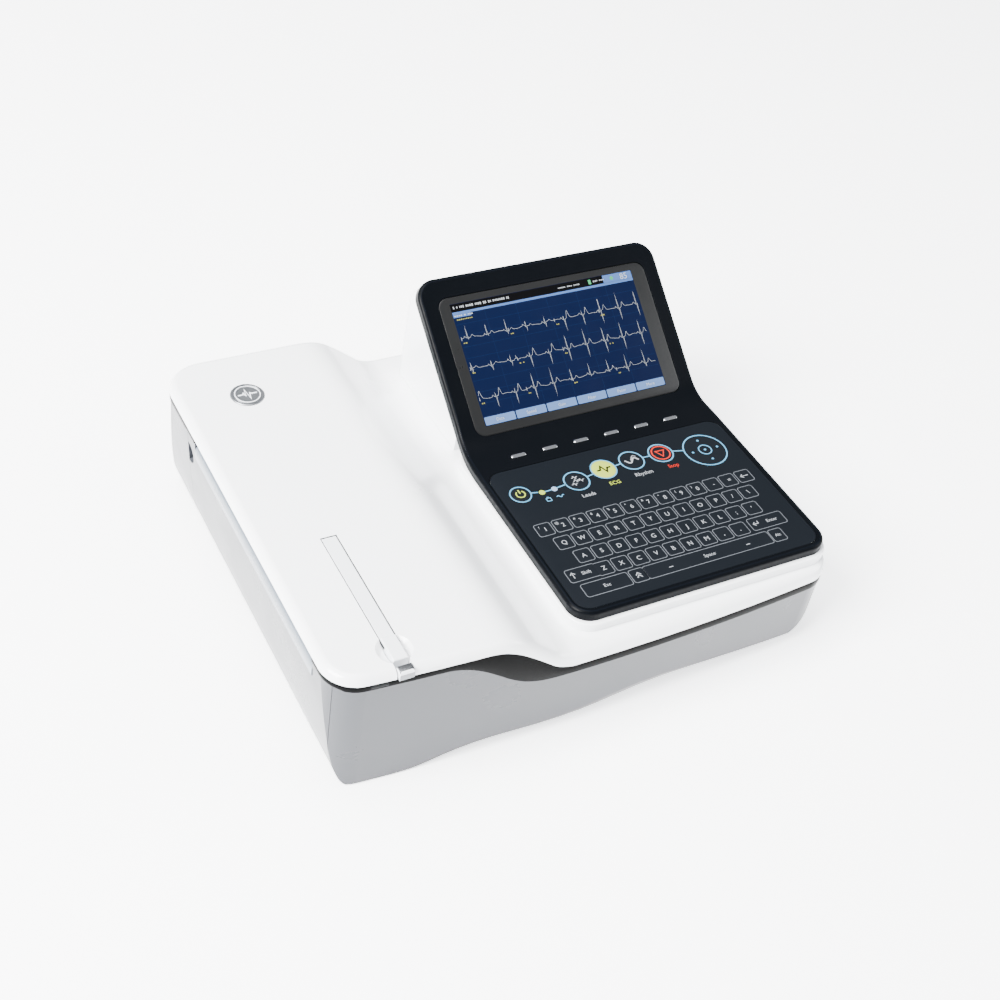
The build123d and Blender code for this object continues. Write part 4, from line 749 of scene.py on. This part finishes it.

# ------------------------------------------------------------------ dark strip in the gap round the release lever: painted shade of the gap
LX0, LX1, LY1 = 41.8, 52.2, 121.5
# the dark strip fills the gap nearly to the top, as painted shade
lever_gap_shade = Build()
path = [(LX0 - 0.3, 21.0), (LX0 - 0.3, LY1 + 0.15), (LX0 - 0.15, LY1 + 0.3), (LX1 + 0.15, LY1 + 0.3), (LX1 + 0.3, LY1 + 0.15), (LX1 + 0.3, 21.0)]
ribbon(lever_gap_shade, path, 0.54, BT - 1.5, BT - 0.16)
lever_gap_shade.object("lever_gap_shade_strip", lever_gap_shade_mat, "stop_black")

# bright cap on the catch button, rounded over its front edge
cap = Build()
cy0 = -5.8 + 9.3 * ((47 - 195) / 195) ** 2 - 1.6
prof = [(cy0 - 0.12, 97.5), (cy0 - 0.14, 101.2), (cy0 + 0.1, 102.5), (cy0 + 0.75, 103.35), (cy0 + 1.7, 103.78), (4.1, 103.8)]
inn = [(cy0 + 0.06, 97.5), (cy0 + 0.06, 101.2), (cy0 + 0.28, 102.35), (cy0 + 0.85, 103.15), (cy0 + 1.75, 103.62), (4.1, 103.64)]
XS = [42.1, 42.3, 42.8, 51.2, 51.7, 51.9]
loops = []
for k, xx in enumerate(XS):
    dz = (0.10, 0.03, 0.0, 0.0, 0.03, 0.10)[k]
    loops.append([(xx, y, z - dz) for y, z in prof] + [(xx, y, z - dz * 0.5) for y, z in reversed(inn)])
cap.grid(loops, True, True, True)
cap.object("catch_cap", cap_mat, "badge", body="catch", angle=40)

# ------------------------------------------------------------------ camera, light, floor
R = ((0.87994147, -0.45711959, 0.12940125), (-0.22587408, -0.64216585, -0.73253254), (0.41795204, 0.61535737, -0.66831983))
cam_d = bpy.data.cameras.new("camera")
cam_d.lens = 55.162
cam_d.sensor_width = 36.0
cam_d.dof.use_dof = False
cam_d.clip_start = 0.01
cam = bpy.data.objects.new("camera", cam_d)
SC.collection.objects.link(cam)
mt = Matrix.Identity(4)
for i in range(3):
    mt[i][0], mt[i][1], mt[i][2] = R[0][i], -R[1][i], -R[2][i]
mt[0][3], mt[1][3], mt[2][3] = -0.460982, -0.686663, 0.801923
cam.matrix_world = mt
SC.camera = cam

fl = bpy.data.meshes.new("floor")
fl.from_pydata([(-6, -6, 0), (6, -6, 0), (6, 6, 0), (-6, 6, 0)], [], [(0, 1, 2, 3)])
floor = bpy.data.objects.new("floor", fl)
SC.collection.objects.link(floor)
fl.materials.append(material("floor", (0.95, 0.955, 0.96), 0.7, cvar=0.01, rscale=3, bscale=60, bump=0.0001, emit=(0.97, 0.98, 1.0), estr=2.2))

w = bpy.data.worlds.new("studio")
w.use_nodes = True
bg = w.node_tree.nodes["Background"]
bg.inputs["Color"].default_value = (0.93, 0.96, 1.0, 1.0)
bg.inputs["Strength"].default_value = 0.72
SC.world = w


def light(name, loc, target, sx, sy, power, color=(1, 1, 1)):
    d = bpy.data.lights.new(name, "AREA")
    d.shape = "RECTANGLE"
    d.size, d.size_y = sx, sy
    d.energy = power
    d.color = color
    o = bpy.data.objects.new(name, d)
    SC.collection.objects.link(o)
    o.location = loc
    o.rotation_euler = (Vector(target) - Vector(loc)).to_track_quat("-Z", "Y").to_euler()
    return o


light("key", (-2.2, -0.35, 2.1), (0, 0, 0.05), 1.7, 1.7, 620, (1.0, 0.995, 0.985))
light("top", (-0.35, 0.45, 2.6), (-0.05, 0, 0.05), 1.5, 1.5, 110)
light("door", (-2.3, -0.7, 0.55), (-0.15, 0, 0.05), 1.2, 0.7, 30)
light("right", (2.1, -0.7, 1.25), (0.1, 0, 0.06), 0.9, 1.0, 40, (0.95, 0.97, 1.0))
